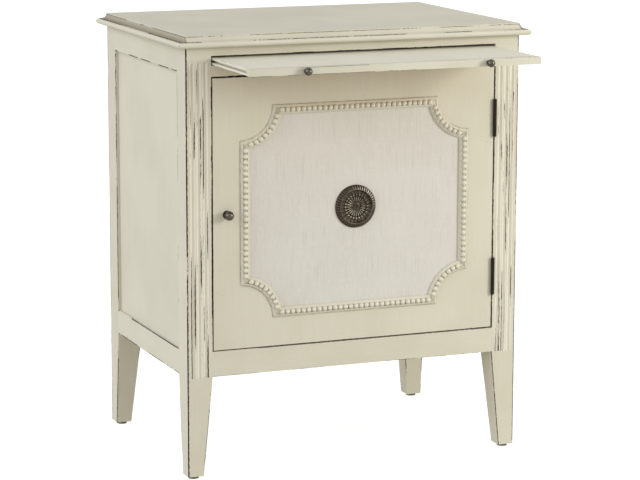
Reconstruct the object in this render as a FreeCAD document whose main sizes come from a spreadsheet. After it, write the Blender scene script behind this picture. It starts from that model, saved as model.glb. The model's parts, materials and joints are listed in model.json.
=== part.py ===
"""Storage side table with a door: a painted cabinet on four tapered legs, with a pull-out tray.

Millimetres, +X to the right, the front faces -Y, +Z up. The origin is on the floor, in the middle of the
table as it stands: door closed, tray drawn out. All sizes are cells of the sheet called sizes.
"""

import FreeCAD
import Part
import Sketcher
import math
import os
import re

SIZES = {
    # overall
    "total_height": 762.0,
    "body_width": 616.0,
    "body_depth": 430.0,
    "leg_height": 178.0,
    "post_side": 45.0,
    "foot_side": 28.0,
    # moulded top
    "top_thickness": 20.0,
    "top_overhang": 16.5,
    "nose_height": 9.5,
    "quirk": 0.7,
    "lip_height": 2.0,
    "lip_step": 0.8,
    # stopped flutes of the front posts
    "flute_radius": 4.4,
    "flute_depth": 1.4,
    "flute_top_margin": 27.0,
    # rails and their joints
    "rail_thickness": 22.0,
    "bottom_rail_height": 43.5,
    "top_rail_height": 43.5,
    "front_top_rail_height": 15.0,
    "middle_rail_height": 18.5,
    "slot_height": 16.5,
    "tenon_length": 20.0,
    "tenon_thickness": 10.0,
    "tenon_shoulder": 10.0,
    "slim_shoulder": 3.0,
    "joint_gap": 0.1,
    "mortise_end_gap": 1.0,
    # panels and boards held in grooves
    "panel_thickness": 6.0,
    "panel_recess": 6.0,
    "panel_groove": 8.0,
    "groove_slack": 1.0,
    "groove_wall": 2.0,
    "floor_thickness": 12.0,
    "floor_drop": 4.0,
    "deck_thickness": 6.0,
    "deck_drop": 1.5,
    # loose shelf on four pins
    "shelf_thickness": 16.0,
    "shelf_rise": 226.0,
    "shelf_gap": 2.0,
    "shelf_setback": 10.0,
    "shelf_pin_radius": 2.5,
    "shelf_pin_out": 10.0,
    "shelf_pin_in": 9.0,
    "shelf_pin_inset": 12.0,
    # tray, its runners and the cleats above them
    "tray_reach": 180.0,
    "tray_thickness": 12.0,
    "tray_lift": 1.0,
    "tray_gap": 2.5,
    "tray_back_gap": 1.0,
    "strip_depth": 18.0,
    "tray_groove_height": 4.0,
    "tray_groove_depth": 8.0,
    "slide_gap": 0.3,
    "runner_cap": 5.0,
    "stop_width": 16.0,
    "stop_depth": 8.0,
    "stop_height": 9.0,
    "spare_reach": 59.0,
    "stop_spread": 120.0,
    "cleat_width": 16.0,
    "cleat_gap": 5.5,
    # door
    "door_gap": 1.8,
    "door_thickness": 20.0,
    "frame_side_margin": 49.0,
    "frame_end_margin": 50.0,
    "notch_radius": 59.0,
    "bed_gap": 0.2,
    "linen_setback": 1.5,
    "linen_thickness": 1.0,
    "panel_board_thickness": 4.0,
    # pearl moulding of the door
    "moulding_width": 17.0,
    "outer_fillet_width": 3.6,
    "outer_fillet_height": 4.6,
    "inner_fillet_width": 3.0,
    "inner_fillet_height": 3.8,
    "bead_floor": 2.6,
    "pearl_radius": 4.6,
    "pearl_height": 4.2,
    "pearl_gap": 0.6,
    # rosette medallion
    "medallion_radius": 37.5,
    "rim_wall": 1.4,
    "shoulder_radius": 34.4,
    "shoulder_height": 5.0,
    "crest_radius": 29.8,
    "crest_height": 7.0,
    "dish_radius": 26.6,
    "dish_floor": 3.0,
    "rosette_radius": 24.0,
    "rosette_height": 3.8,
    "petal_height": 5.0,
    "petal_root": 0.7,
    "petal_tip": 1.7,
    "petal_count": 24.0,
    "button_radius": 7.5,
    "button_height": 6.0,
    # knobs
    "knob_inset": 25.0,
    "knob_radius": 8.2,
    "knob_centre": 12.0,
    "knob_rose_radius": 7.4,
    "knob_rose_height": 1.6,
    "knob_neck_radius": 3.6,
    "tray_knob_inset": 97.0,
    "tray_knob_radius": 6.8,
    "tray_knob_centre": 8.4,
    "tray_knob_rose_radius": 4.8,
    "tray_knob_rose_height": 1.0,
    "tray_knob_neck_radius": 2.8,
    "stud_radius": 1.8,
    "stud_length": 12.0,
    "screw_gap": 0.05,
    # butt hinges
    "hinge_offset": 141.0,
    "hinge_length": 65.0,
    "leaf_thickness": 1.4,
    "leaf_width": 17.0,
    "leaf_gap": 0.4,
    "barrel_radius": 3.2,
    "barrel_standoff": 0.3,
    "knuckle_gap": 0.2,
    "pin_radius": 1.5,
    "pin_gap": 0.05,
    # magnetic catch
    "catch_rise": 120.0,
    "catch_width": 14.0,
    "catch_depth": 13.0,
    "catch_length": 40.0,
    "catch_gap": 0.1,
    "strike_thickness": 1.2,
    "strike_inset": 1.0,
    "strike_width": 12.0,
    # glides
    "glide_height": 5.0,
    "glide_radius": 9.0,
}

# Places and fitted sizes worked out from the sheet; each may use the ones above it.
DERIVED = {
    "tray_knob_length": "tray_knob_centre + tray_knob_radius",
    "front_y": "(tray_knob_length + tray_reach - body_depth - top_overhang) / 2",
    "middle_y": "front_y + body_depth / 2",
    "back_y": "front_y + body_depth",
    "half_width": "body_width / 2",
    "half_depth": "body_depth / 2",
    "opening_half": "half_width - post_side",
    "top_underside": "total_height - top_thickness",
    "slot_top": "top_underside - front_top_rail_height",
    "slot_bottom": "slot_top - slot_height",
    "opening_top": "slot_bottom - middle_rail_height",
    "bottom_rail_top": "leg_height + bottom_rail_height",
    "top_rail_bottom": "top_underside - top_rail_height",
    "panel_engage": "panel_groove - groove_slack",
    "board_groove": "rail_thickness - panel_recess - panel_thickness - groove_wall",
    "floor_top": "bottom_rail_top - floor_drop",
    "floor_bottom": "floor_top - floor_thickness",
    "deck_top": "slot_bottom - deck_drop",
    "deck_bottom": "deck_top - deck_thickness",
    "shelf_bottom": "floor_top + shelf_rise",
    "shelf_pin_z": "shelf_bottom - shelf_pin_radius - joint_gap",
    "tray_half": "opening_half - tray_gap",
    "tray_front": "front_y - tray_reach",
    "tray_back": "tray_front + body_depth - rail_thickness - tray_back_gap",
    "tray_bottom": "slot_bottom + tray_lift",
    "tray_top": "tray_bottom + tray_thickness",
    "tray_mid": "tray_bottom + tray_thickness / 2",
    "runner_top": "tray_mid + runner_cap",
    "cleat_bottom": "runner_top + cleat_gap",
    "door_bottom": "bottom_rail_top + door_gap",
    "door_top": "opening_top - door_gap",
    "door_half": "opening_half - door_gap",
    "door_mid": "(door_bottom + door_top) / 2",
    "door_back": "front_y + door_thickness",
    "frame_half_width": "door_half - frame_side_margin",
    "frame_half_height": "(door_top - door_bottom) / 2 - frame_end_margin",
    "bed_y": "front_y + linen_setback",
    "panel_board_y": "bed_y + linen_thickness",
    "recess_y": "panel_board_y + panel_board_thickness",
    "mitre_reach": "sqrt(notch_radius^2 + 2 * notch_radius * moulding_width)",
    "mitre_slope": "(mitre_reach - notch_radius) / moulding_width",
    "pearl_line": "(moulding_width + outer_fillet_width - inner_fillet_width) / 2",
    "pearl_pitch": "2 * pearl_radius + pearl_gap",
    "pearl_end_gap": "pearl_line * mitre_slope + pearl_radius * sqrt(1 + mitre_slope^2)",
    "hinge_x": "opening_half - door_gap / 2",
    "pin_y": "front_y - barrel_radius - barrel_standoff",
    "knuckle_pitch": "hinge_length / 3",
    "catch_y": "door_back + strike_thickness + catch_gap",
    "catch_z": "door_mid + catch_rise",
}

LEFT, RIGHT = -1, 1
FRONT, BACK = -1, 1
SIDES = ((LEFT, "left"), (RIGHT, "right"))
ENDS = ((FRONT, "front"), (BACK, "back"))
POST_KNUCKLES = (0, 2)
DOOR_KNUCKLES = (1,)
HINGES = ("hinge_offset", "-hinge_offset")
KNOB_SIDES = 16
BALL_FLATS = 5
PEARL_SIDES = 6
DISH_SIDES = 32
# a pearl's foot and crown as shares of its radius and its height
PEARL_SECTIONS = ((1.0, 0.0), (0.55, 1.0))

doc = FreeCAD.newDocument("storage_side_table")
sheet = doc.addObject("Spreadsheet::Sheet", "sizes")
for row, (alias, value) in enumerate(SIZES.items(), start=1):
    sheet.set(f"A{row}", alias)
    sheet.set(f"B{row}", str(value))
    sheet.setAlias(f"B{row}", alias)
doc.recompute()
nodes = []


def formula(text):
    """Write the names in an expression as cells of the sheet, with derived names spelled out."""
    def spell(match):
        name = match.group(0)
        if name in SIZES:
            return f"sizes.{name}"
        if name in DERIVED:
            return f"({formula(DERIVED[name])})"
        return name
    return re.sub(r"[a-z][a-z_]*[a-z]", spell, text)


def number(text):
    """The present value of an expression."""
    return float(sheet.evalExpression(formula(text)))


def node(item, label):
    """Make an object one of the table's sub-parts."""
    item.Label = label
    nodes.append(item)
    return item


def place(item, x, y, z, rotation=None):
    """Bind an object's place to the sheet, turned as given."""
    if rotation is not None:
        item.Placement = FreeCAD.Placement(FreeCAD.Vector(), rotation)
    for axis, text in zip("xyz", (x, y, z)):
        item.setExpression(f"Placement.Base.{axis}", formula(text))


def turn(x, y, z, degrees):
    return FreeCAD.Rotation(FreeCAD.Vector(x, y, z), degrees)


# The door's trim is drawn flat, with its front up, and stood upright by this turn.
UPRIGHT = turn(1, 0, 0, 90)
ALONG = {"x": turn(0, 1, 0, 90), "-x": turn(0, 1, 0, -90), "y": turn(1, 0, 0, -90), "z": turn(0, 0, 1, 0)}


def span(side, near, far):
    """The stretch from near to far of the middle, on the given side."""
    if side > 0:
        return near, far
    return f"-({far})", f"-({near})"


def depth_span(end, near, far):
    """The stretch from near to far of the body's middle, towards the front or the back."""
    low, high = span(end, near, far)
    return f"middle_y + ({low})", f"middle_y + ({high})"


def about(middle, half):
    return f"{middle} - ({half})", f"{middle} + ({half})"


def grown(stretch, gap):
    return f"{stretch[0]} - {gap}", f"{stretch[1]} + {gap}"


def block(x, y, z):
    """A box between a low and a high place along each axis."""
    item = doc.addObject("Part::Box", "block")
    for size, (low, high) in zip(("Length", "Width", "Height"), (x, y, z)):
        item.setExpression(size, formula(f"({high}) - ({low})"))
    place(item, x[0], y[0], z[0])
    return item


def rod(axis, radius, length, x, y, z):
    """A cylinder that runs from a place along an axis."""
    item = doc.addObject("Part::Cylinder", "rod")
    place(item, x, y, z, ALONG[axis])
    item.setExpression("Radius", formula(radius))
    item.setExpression("Height", formula(length))
    return item


def fuse(pieces):
    item = doc.addObject("Part::MultiFuse", "joined")
    item.Shapes = pieces
    item.Refine = True
    return item


def cut(base, tools):
    item = doc.addObject("Part::Cut", "cut")
    item.Base = base
    item.Tool = tools[0] if len(tools) == 1 else fuse(tools)
    return item


def group(pieces):
    item = doc.addObject("Part::Compound", "group")
    item.Links = pieces
    return item


def origin_part(body, role):
    return next(part for part in body.Origin.OriginFeatures if part.Role == role)


def sketch_on(body, plane, lift="0"):
    """An empty sketch on one of the body's own planes, raised along its normal."""
    sketch = body.newObject("Sketcher::SketchObject", "outline")
    sketch.AttachmentSupport = [(origin_part(body, plane), "")]
    sketch.MapMode = "FlatFace"
    sketch.setExpression("AttachmentOffset.Base.z", formula(lift))
    return sketch


def pin_point(sketch, geometry, point, x=None, y=None):
    """Hold a point of a sketch at its place."""
    for kind, text in (("DistanceX", x), ("DistanceY", y)):
        if text is not None:
            value = number(text)
            index = sketch.addConstraint(Sketcher.Constraint(kind, -1, 1, geometry, point, value))
            sketch.setExpression(f"Constraints[{index}]", formula(text))


def close_outline(sketch, corners, bends=None):
    """Draw a closed outline through corners.

    A side is straight, or an arc where bends gives its centre and its turn (1 is anticlockwise).
    """
    bends = bends or {}
    spots = [FreeCAD.Vector(number(x), number(y), 0) for x, y in corners]
    ends = []
    for side, start in enumerate(spots):
        finish = spots[(side + 1) % len(spots)]
        if side in bends:
            centre = FreeCAD.Vector(number(bends[side][0]), number(bends[side][1]), 0)
            first, last = (start, finish) if bends[side][2] > 0 else (finish, start)
            angles = [math.atan2(spot.y - centre.y, spot.x - centre.x) for spot in (first, last)]
            circle = Part.Circle(centre, FreeCAD.Vector(0, 0, 1), first.distanceToPoint(centre))
            index = sketch.addGeometry(Part.ArcOfCircle(circle, *angles))
            ends.append((index, 1, 2) if bends[side][2] > 0 else (index, 2, 1))
        else:
            ends.append((sketch.addGeometry(Part.LineSegment(start, finish)), 1, 2))
    for side, (index, _, finish) in enumerate(ends):
        following, start, _ = ends[(side + 1) % len(ends)]
        sketch.addConstraint(Sketcher.Constraint("Coincident", index, finish, following, start))
    for side, (index, start, _) in enumerate(ends):
        pin_point(sketch, index, start, *corners[side])
    for side, (x, y, _) in bends.items():
        chord = spots[(side + 1) % len(spots)] - spots[side]
        steep = abs(chord.y) >= abs(chord.x)
        pin_point(sketch, ends[side][0], 3, x if steep else None, None if steep else y)
    return sketch


def pad(body, sketch, length, both_ways=False):
    feature = body.newObject("PartDesign::Pad", "pad")
    feature.Profile = sketch
    feature.setExpression("Length", formula(length))
    feature.Midplane = both_ways
    return feature


def pocket(body, sketch):
    """Cut an outline right through, both ways."""
    feature = body.newObject("PartDesign::Pocket", "pocket")
    feature.Profile = sketch
    feature.Type = "ThroughAll"
    feature.Midplane = True
    return feature


def revolve(body, sketch, degrees):
    """Turn an outline about the body's own upright axis."""
    feature = body.newObject("PartDesign::Revolution", "turned")
    feature.Profile = sketch
    feature.ReferenceAxis = (origin_part(body, "Z_Axis"), [""])
    feature.Angle = degrees
    return feature


# Joints that two pieces share

CROSS_RAILS = (
    ("front_top_rail", FRONT, ("slot_top", "top_underside"), "slim_shoulder"),
    ("front_middle_rail", FRONT, ("opening_top", "slot_bottom"), "slim_shoulder"),
    ("front_bottom_rail", FRONT, ("leg_height", "bottom_rail_top"), "tenon_shoulder"),
    ("back_top_rail", BACK, ("top_rail_bottom", "top_underside"), "tenon_shoulder"),
    ("back_bottom_rail", BACK, ("leg_height", "bottom_rail_top"), "tenon_shoulder"),
)
SIDE_RAILS = (
    ("side_top_rail", ("top_rail_bottom", "top_underside")),
    ("side_bottom_rail", ("leg_height", "bottom_rail_top")),
)
POST_LINE = {"x": "half_width - post_side", "y": "half_depth - post_side"}
TENON_LINE = {"x": "half_width - rail_thickness / 2", "y": "half_depth - rail_thickness / 2"}


def cross_tenon(side, end, heights, shoulder, gap="0", deeper="0"):
    """A front or back rail's tenon, or with a gap the mortise that takes it."""
    x = span(side, POST_LINE["x"], f"half_width - post_side + tenon_length + {deeper}")
    y = grown(depth_span(end, *about(TENON_LINE["y"], "tenon_thickness / 2")), gap)
    return block(x, y, (f"{heights[0]} + {shoulder} - {gap}", f"{heights[1]} - {shoulder} + {gap}"))


def side_tenon(side, end, heights, gap="0", deeper="0"):
    """A side rail's tenon, or with a gap the mortise that takes it."""
    x = grown(span(side, *about(TENON_LINE["x"], "tenon_thickness / 2")), gap)
    y = depth_span(end, POST_LINE["y"], f"half_depth - post_side + tenon_length + {deeper}")
    z = (f"{heights[0]} + tenon_shoulder - {gap}", f"{heights[1]} - tenon_shoulder + {gap}")
    return block(x, y, z)


def panel_slice(half):
    """How far out from the middle a recessed panel lies."""
    return f"{half} - panel_recess - panel_thickness", f"{half} - panel_recess"


def board_groove(heights, direction, side):
    """The groove in a rail's inner face that holds the edge of the floor or the dust panel."""
    z = grown(heights, "joint_gap")
    half = "half_width" if direction == "x" else "half_depth"
    reach = (f"{half} - rail_thickness", f"{half} - rail_thickness + board_groove")
    if direction == "x":
        return block(span(side, *reach), ("front_y", "back_y"), z)
    return block(("-half_width", "half_width"), depth_span(side, *reach), z)


def panel_edge_groove(heights, direction, side):
    """The groove in a rail's edge that holds a recessed panel."""
    if heights[0] == "leg_height":
        z = (f"{heights[1]} - panel_groove", heights[1])
    else:
        z = (heights[0], f"{heights[0]} + panel_groove")
    if direction == "x":
        x = grown(span(side, *panel_slice("half_width")), "joint_gap")
        return block(x, ("front_y + post_side", "back_y - post_side"), z)
    y = grown(depth_span(side, *panel_slice("half_depth")), "joint_gap")
    return block(("-opening_half", "opening_half"), y, z)


def leaf_x(side):
    """The thickness of a hinge leaf on one side of the closed joint."""
    sign = "+" if side == RIGHT else "-"
    edges = (f"hinge_x {sign} leaf_gap / 2", f"hinge_x {sign} (leaf_gap / 2 + leaf_thickness)")
    return edges if side == RIGHT else edges[::-1]


def leaf_plate(side, offset, gap="0"):
    """The flat leaf of a hinge, or with a gap the seat cut for it."""
    z = about(f"door_mid + {offset}", f"hinge_length / 2 + {gap}")
    return block(leaf_x(side), ("front_y", f"front_y + leaf_width + {gap}"), z)


# Carcase

def top_profile(half):
    """The top's section across one direction: nose, quirk, cove, lip and flat field on both sides."""
    nose = f"{half} + top_overhang - nose_height / 2"
    cove = f"{nose} - quirk"
    cove_foot = "nose_height + quirk"
    cove_head = "top_thickness - lip_height"
    cove_radius = f"({cove_head} - {cove_foot})"
    field = f"{cove} - {cove_radius}"
    right = [
        (nose, "0"), (nose, "nose_height"), (cove, "nose_height"), (cove, cove_foot), (field, cove_head),
        (f"{field} - lip_step", cove_head), (f"{field} - lip_step", "top_thickness"),
    ]
    left = [(f"-({x})", z) for x, z in reversed(right)]
    bends = {
        0: (nose, "nose_height / 2", 1),
        3: (cove, cove_head, -1),
        9: (f"-({cove})", cove_head, -1),
        12: (f"-({nose})", "nose_height / 2", 1),
    }
    return right + left, bends


def moulded_top():
    """The two sections cross, so that the moulding is mitred at the four corners."""
    lengths = []
    directions = (("XZ_Plane", "half_width", "half_depth"), ("YZ_Plane", "half_depth", "half_width"))
    for plane, half, across in directions:
        body = doc.addObject("PartDesign::Body", "section")
        sketch = sketch_on(body, plane)
        close_outline(sketch, *top_profile(half))
        pad(body, sketch, f"2 * ({across} + top_overhang)", both_ways=True)
        place(body, "0", "middle_y", "top_underside")
        lengths.append(body)
    board = doc.addObject("Part::Common", "board")
    board.Base, board.Tool = lengths
    node(board, "top")


def flutes(side):
    """Three shallow stopped flutes at the quarters of a front post's face."""
    tools = []
    axis_y = "front_y - flute_radius + flute_depth"
    length = "top_underside - flute_top_margin - leg_height"
    for quarter in ("0.25", "0.5", "0.75"):
        x = f"{side} * (half_width - {quarter} * post_side)"
        tools.append(rod("z", "flute_radius", length, x, axis_y, "leg_height"))
    return tools


def post(side, side_name, end, end_name):
    """One stick from glide to top, tapered below the rails on its two inner faces."""
    x = span(side, "half_width - post_side", "half_width")
    y = depth_span(end, "half_depth - post_side", "half_depth")
    shaft = block(x, y, ("leg_height", "top_underside"))
    foot_x = span(side, "half_width - foot_side", "half_width")
    foot_y = depth_span(end, "half_depth - foot_side", "half_depth")
    leg = doc.addObject("Part::Wedge", "leg")
    place(leg, "0", "0", "0", UPRIGHT)
    bounds = {
        "Ymin": "glide_height", "Ymax": "leg_height",
        "Xmin": foot_x[0], "Xmax": foot_x[1], "X2min": x[0], "X2max": x[1],
        "Zmin": f"-({foot_y[1]})", "Zmax": f"-({foot_y[0]})", "Z2min": f"-({y[1]})", "Z2max": f"-({y[0]})",
    }
    for name, text in bounds.items():
        leg.setExpression(name, formula(text))
    tools = [cross_tenon(side, end, heights, shoulder, "joint_gap", "mortise_end_gap")
             for _, rail_end, heights, shoulder in CROSS_RAILS if rail_end == end]
    tools += [side_tenon(side, end, heights, "joint_gap", "mortise_end_gap") for _, heights in SIDE_RAILS]
    groove_z = ("bottom_rail_top - panel_groove", "top_rail_bottom + panel_groove")
    tools.append(block(grown(span(side, *panel_slice("half_width")), "joint_gap"),
                       depth_span(end, POST_LINE["y"], "half_depth - post_side + panel_groove"), groove_z))
    if end == BACK:
        tools.append(block(span(side, POST_LINE["x"], "half_width - post_side + panel_groove"),
                           grown(depth_span(end, *panel_slice("half_depth")), "joint_gap"), groove_z))
    else:
        tools += flutes(side)
    if end == FRONT and side == RIGHT:
        tools += [leaf_plate(RIGHT, offset, "joint_gap") for offset in HINGES]
    tools.append(shelf_pin(side, end, "screw_gap"))
    node(cut(fuse([shaft, leg]), tools), f"{end_name}_{side_name}_post")


def cross_rail(name, end, heights, shoulder):
    """A rail between the two posts of the front or the back, with a tenon at each end."""
    y = depth_span(end, "half_depth - rail_thickness", "half_depth")
    bar = block(("-opening_half", "opening_half"), y, heights)
    rail = fuse([bar, *(cross_tenon(side, end, heights, shoulder) for side, _ in SIDES)])
    tools = []
    if heights[0] == "leg_height":
        tools.append(board_groove(("floor_bottom", "floor_top"), "y", end))
    elif name != "front_top_rail":
        tools.append(board_groove(("deck_bottom", "deck_top"), "y", end))
    if end == BACK:
        tools.append(panel_edge_groove(heights, "y", end))
    node(cut(rail, tools) if tools else rail, name)


def side_rail(side, name, heights):
    """A rail between the front and back posts, with a tenon at each end."""
    x = span(side, "half_width - rail_thickness", "half_width")
    bar = block(x, ("front_y + post_side", "back_y - post_side"), heights)
    rail = fuse([bar, *(side_tenon(side, end, heights) for end, _ in ENDS)])
    board = ("floor_bottom", "floor_top") if heights[0] == "leg_height" else ("deck_bottom", "deck_top")
    tools = [board_groove(board, "x", side), panel_edge_groove(heights, "x", side)]
    node(cut(rail, tools), name)


def recessed_panels():
    """Flat panels that float in the grooves of the sides and the back."""
    z = ("bottom_rail_top - panel_engage", "top_rail_bottom + panel_engage")
    y = ("front_y + post_side - panel_engage", "back_y - post_side + panel_engage")
    for side, side_name in SIDES:
        node(block(span(side, *panel_slice("half_width")), y, z), f"{side_name}_side_panel")
    x = ("-(opening_half + panel_engage)", "opening_half + panel_engage")
    node(block(x, depth_span(BACK, *panel_slice("half_depth")), z), "back_panel")


def grooved_board(name, heights):
    """A board held in the rails' grooves all round and notched round the four posts."""
    reach = "rail_thickness - board_groove + groove_slack"
    slab = block(about("0", f"half_width - ({reach})"), about("middle_y", f"half_depth - ({reach})"), heights)
    notches = []
    for side, _ in SIDES:
        for end, _ in ENDS:
            x = span(side, "half_width - post_side - joint_gap", "half_width")
            y = depth_span(end, "half_depth - post_side - joint_gap", "half_depth")
            notches.append(block(x, y, heights))
    node(cut(slab, notches), name)


def shelf_pin(side, end, gap="0"):
    """A round pin in a post that carries a corner of the shelf, or with a gap its hole."""
    start = f"{side} * (opening_half - shelf_pin_out)"
    y = f"middle_y + {end} * (half_depth - post_side + shelf_pin_inset)"
    length = f"shelf_pin_out + shelf_pin_in + 10 * {gap}"
    return rod("x" if side == RIGHT else "-x", f"shelf_pin_radius + {gap}", length, start, y, "shelf_pin_z")


def loose_shelf():
    x = about("0", "opening_half - shelf_gap")
    y = ("door_back + shelf_setback", "back_y - panel_recess - panel_thickness - shelf_gap")
    node(block(x, y, ("shelf_bottom", "shelf_bottom + shelf_thickness")), "shelf")
    node(group([shelf_pin(side, end) for side, _ in SIDES for end, _ in ENDS]), "shelf_pins")


def tray_runner(side, side_name):
    """A strip on the side rail whose tongue runs in the groove of the tray's edge."""
    y = ("front_y + post_side", "back_y - post_side")
    strip_x = span(side, "tray_half + slide_gap", "half_width - rail_thickness")
    strip = block(strip_x, y, ("deck_top", "runner_top"))
    tongue = block(span(side, "tray_half - tray_groove_depth + slide_gap", "tray_half + slide_gap"), y,
                   about("tray_mid", "tray_groove_height / 2 - slide_gap"))
    node(fuse([strip, tongue]), f"{side_name}_tray_runner")


def top_cleat(side, side_name):
    """A strip on the side rail that the top is fixed to."""
    x = span(side, "half_width - rail_thickness - cleat_width", "half_width - rail_thickness")
    cleat = block(x, ("front_y + post_side", "back_y - post_side"), ("cleat_bottom", "top_underside"))
    node(cleat, f"{side_name}_top_cleat")


def glides():
    """A round glide under each foot."""
    pieces = []
    for side, _ in SIDES:
        for end, _ in ENDS:
            x = f"{side} * (half_width - foot_side / 2)"
            y = f"middle_y + {end} * (half_depth - foot_side / 2)"
            pieces.append(rod("z", "glide_radius", "glide_height", x, y, "0"))
    node(group(pieces), "glides")


# Hinges and catch

def leaf_pieces(side, knuckles, offset):
    """A hinge leaf's plate, and the knuckles rolled from its front edge."""
    pieces = [leaf_plate(side, offset)]
    for knuckle in knuckles:
        low = f"door_mid + {offset} - hinge_length / 2 + {knuckle} * knuckle_pitch"
        z = (f"{low} + knuckle_gap / 2", f"{low} + knuckle_pitch - knuckle_gap / 2")
        pieces.append(block(leaf_x(side), ("pin_y", "front_y"), z))
        pieces.append(rod("z", "barrel_radius", "knuckle_pitch - knuckle_gap", "hinge_x", "pin_y", z[0]))
    return pieces


def hinge_pin(offset, gap="0"):
    """The pin of a hinge, or with a gap its bore."""
    low = f"door_mid + {offset} - hinge_length / 2 + knuckle_gap / 2"
    return rod("z", f"pin_radius + {gap}", "hinge_length - knuckle_gap", "hinge_x", "pin_y", low)


def hinges():
    """Two butt hinges; each pin is fast in the knuckles of the post's leaf."""
    post_leaves = []
    door_leaves = []
    for offset in HINGES:
        post_leaves.append(fuse([*leaf_pieces(RIGHT, POST_KNUCKLES, offset), hinge_pin(offset)]))
        door_leaf = fuse(leaf_pieces(LEFT, DOOR_KNUCKLES, offset))
        door_leaves.append(cut(door_leaf, [hinge_pin(offset, "pin_gap")]))
    node(group(post_leaves), "hinge_post_leaves")
    node(group(door_leaves), "hinge_door_leaves")


def catch():
    """A magnetic catch on the left front post and its strike plate on the back of the door."""
    z = about("catch_z", "catch_length / 2")
    case = block(("-opening_half", "catch_width - opening_half"), ("catch_y", "catch_y + catch_depth"), z)
    node(case, "catch_magnet")
    plate_x = ("strike_inset - door_half", "strike_inset + strike_width - door_half")
    node(block(plate_x, ("door_back", "door_back + strike_thickness"), z), "strike_plate")


# Door

def notched_slab(y, inset):
    """A slab the size of the moulding's frame less an inset, its corners cut by quarter circles."""
    x = about("0", f"frame_half_width - ({inset})")
    slab = block(x, y, about("door_mid", f"frame_half_height - ({inset})"))
    corners = []
    for side, _ in SIDES:
        for height in ("door_mid - frame_half_height", "door_mid + frame_half_height"):
            corners.append(rod("y", f"notch_radius + ({inset})", f"({y[1]}) - ({y[0]})",
                               f"{side} * frame_half_width", y[0], height))
    return cut(slab, corners)


def stud(x, y, z, gap="0", deeper="0"):
    """The stud that holds a knob, or with a gap its hole."""
    return rod("y", f"stud_radius + {gap}", f"stud_length + {deeper}", x, y, z)


def door_panel():
    """The door board, and the linen-covered panel that lies in its recess."""
    slab = block(about("0", "door_half"), ("front_y", "door_back"), ("door_bottom", "door_top"))
    tools = [notched_slab(("front_y", "recess_y"), "-bed_gap")]
    tools.append(stud("knob_inset - door_half", "front_y", "door_mid", "screw_gap", "joint_gap"))
    tools += [leaf_plate(LEFT, offset, "joint_gap") for offset in HINGES]
    node(cut(slab, tools), "door_board")
    node(notched_slab(("panel_board_y", "recess_y"), "0"), "panel_board")
    node(notched_slab(("bed_y", "panel_board_y"), "0"), "linen_cover")


def moulding_profile(start):
    """The moulding's section: a fillet, the bead's floor and a lower fillet."""
    outer = f"{start} + outer_fillet_width"
    inner = f"{start} + moulding_width - inner_fillet_width"
    far = f"{start} + moulding_width"
    return [
        (start, "0"), (far, "0"), (far, "inner_fillet_height"), (inner, "inner_fillet_height"),
        (inner, "bead_floor"), (outer, "bead_floor"), (outer, "outer_fillet_height"),
        (start, "outer_fillet_height"),
    ]


def facets(outline, sides, x=0, y=0):
    """A solid turned from an outline of radius and height pairs, in flat facets about an upright axis."""
    rings = []
    for radius, height in outline:
        angles = [2 * math.pi * (index + 0.5) / sides for index in range(sides)]
        rings.append([FreeCAD.Vector(x + radius * math.cos(angle), y + radius * math.sin(angle), height)
                      for angle in angles])
    faces = [rings[0], rings[-1]]
    for low, high in zip(rings, rings[1:]):
        for index in range(sides):
            following = (index + 1) % sides
            faces.append([low[index], low[following], high[following], high[index]])
    shell = Part.makeShell([Part.Face(Part.makePolygon([*face, face[0]])) for face in faces])
    return Part.makeSolid(shell)


def beaded(strip, places, x, z, degrees):
    """Set pearls on a length of moulding and stand it in its place on the door."""
    outline = [(share * number("pearl_radius"), number("bead_floor") + rise * number("pearl_height"))
               for share, rise in PEARL_SECTIONS]
    pearls = doc.addObject("Part::Feature", "pearls")
    pearls.Shape = Part.makeCompound([facets(outline, PEARL_SIDES, *spot) for spot in places])
    for item in (strip, pearls):
        place(item, x, "bed_y", z, UPRIGHT.multiply(turn(0, 0, 1, degrees)))
    return fuse([strip, pearls])


def straight_moulding(half_length, x, z, degrees):
    """A straight length with mitred ends and a row of pearls; its outer edge is the body's X axis."""
    body = doc.addObject("PartDesign::Body", "moulding")
    sketch = sketch_on(body, "YZ_Plane")
    close_outline(sketch, moulding_profile("0"))
    outer_half = f"({half_length} - notch_radius)"
    pad(body, sketch, f"2 * {outer_half}", both_ways=True)
    ends = sketch_on(body, "XY_Plane")
    for sign in ("-", ""):
        waste = [
            (f"{sign}{outer_half}", "0"),
            (f"{sign}({outer_half} - 2 * mitre_slope * moulding_width)", "2 * moulding_width"),
            (f"{sign}({outer_half} + moulding_width)", "2 * moulding_width"),
            (f"{sign}({outer_half} + moulding_width)", "0"),
        ]
        close_outline(ends, waste)
    pocket(body, ends)
    reach = number(f"{outer_half} - pearl_end_gap")
    pitch = number("pearl_pitch")
    count = math.floor(2 * reach / pitch) + 1
    places = [((index - (count - 1) / 2) * pitch, number("pearl_line")) for index in range(count)]
    return beaded(body, places, x, z, degrees)


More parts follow.
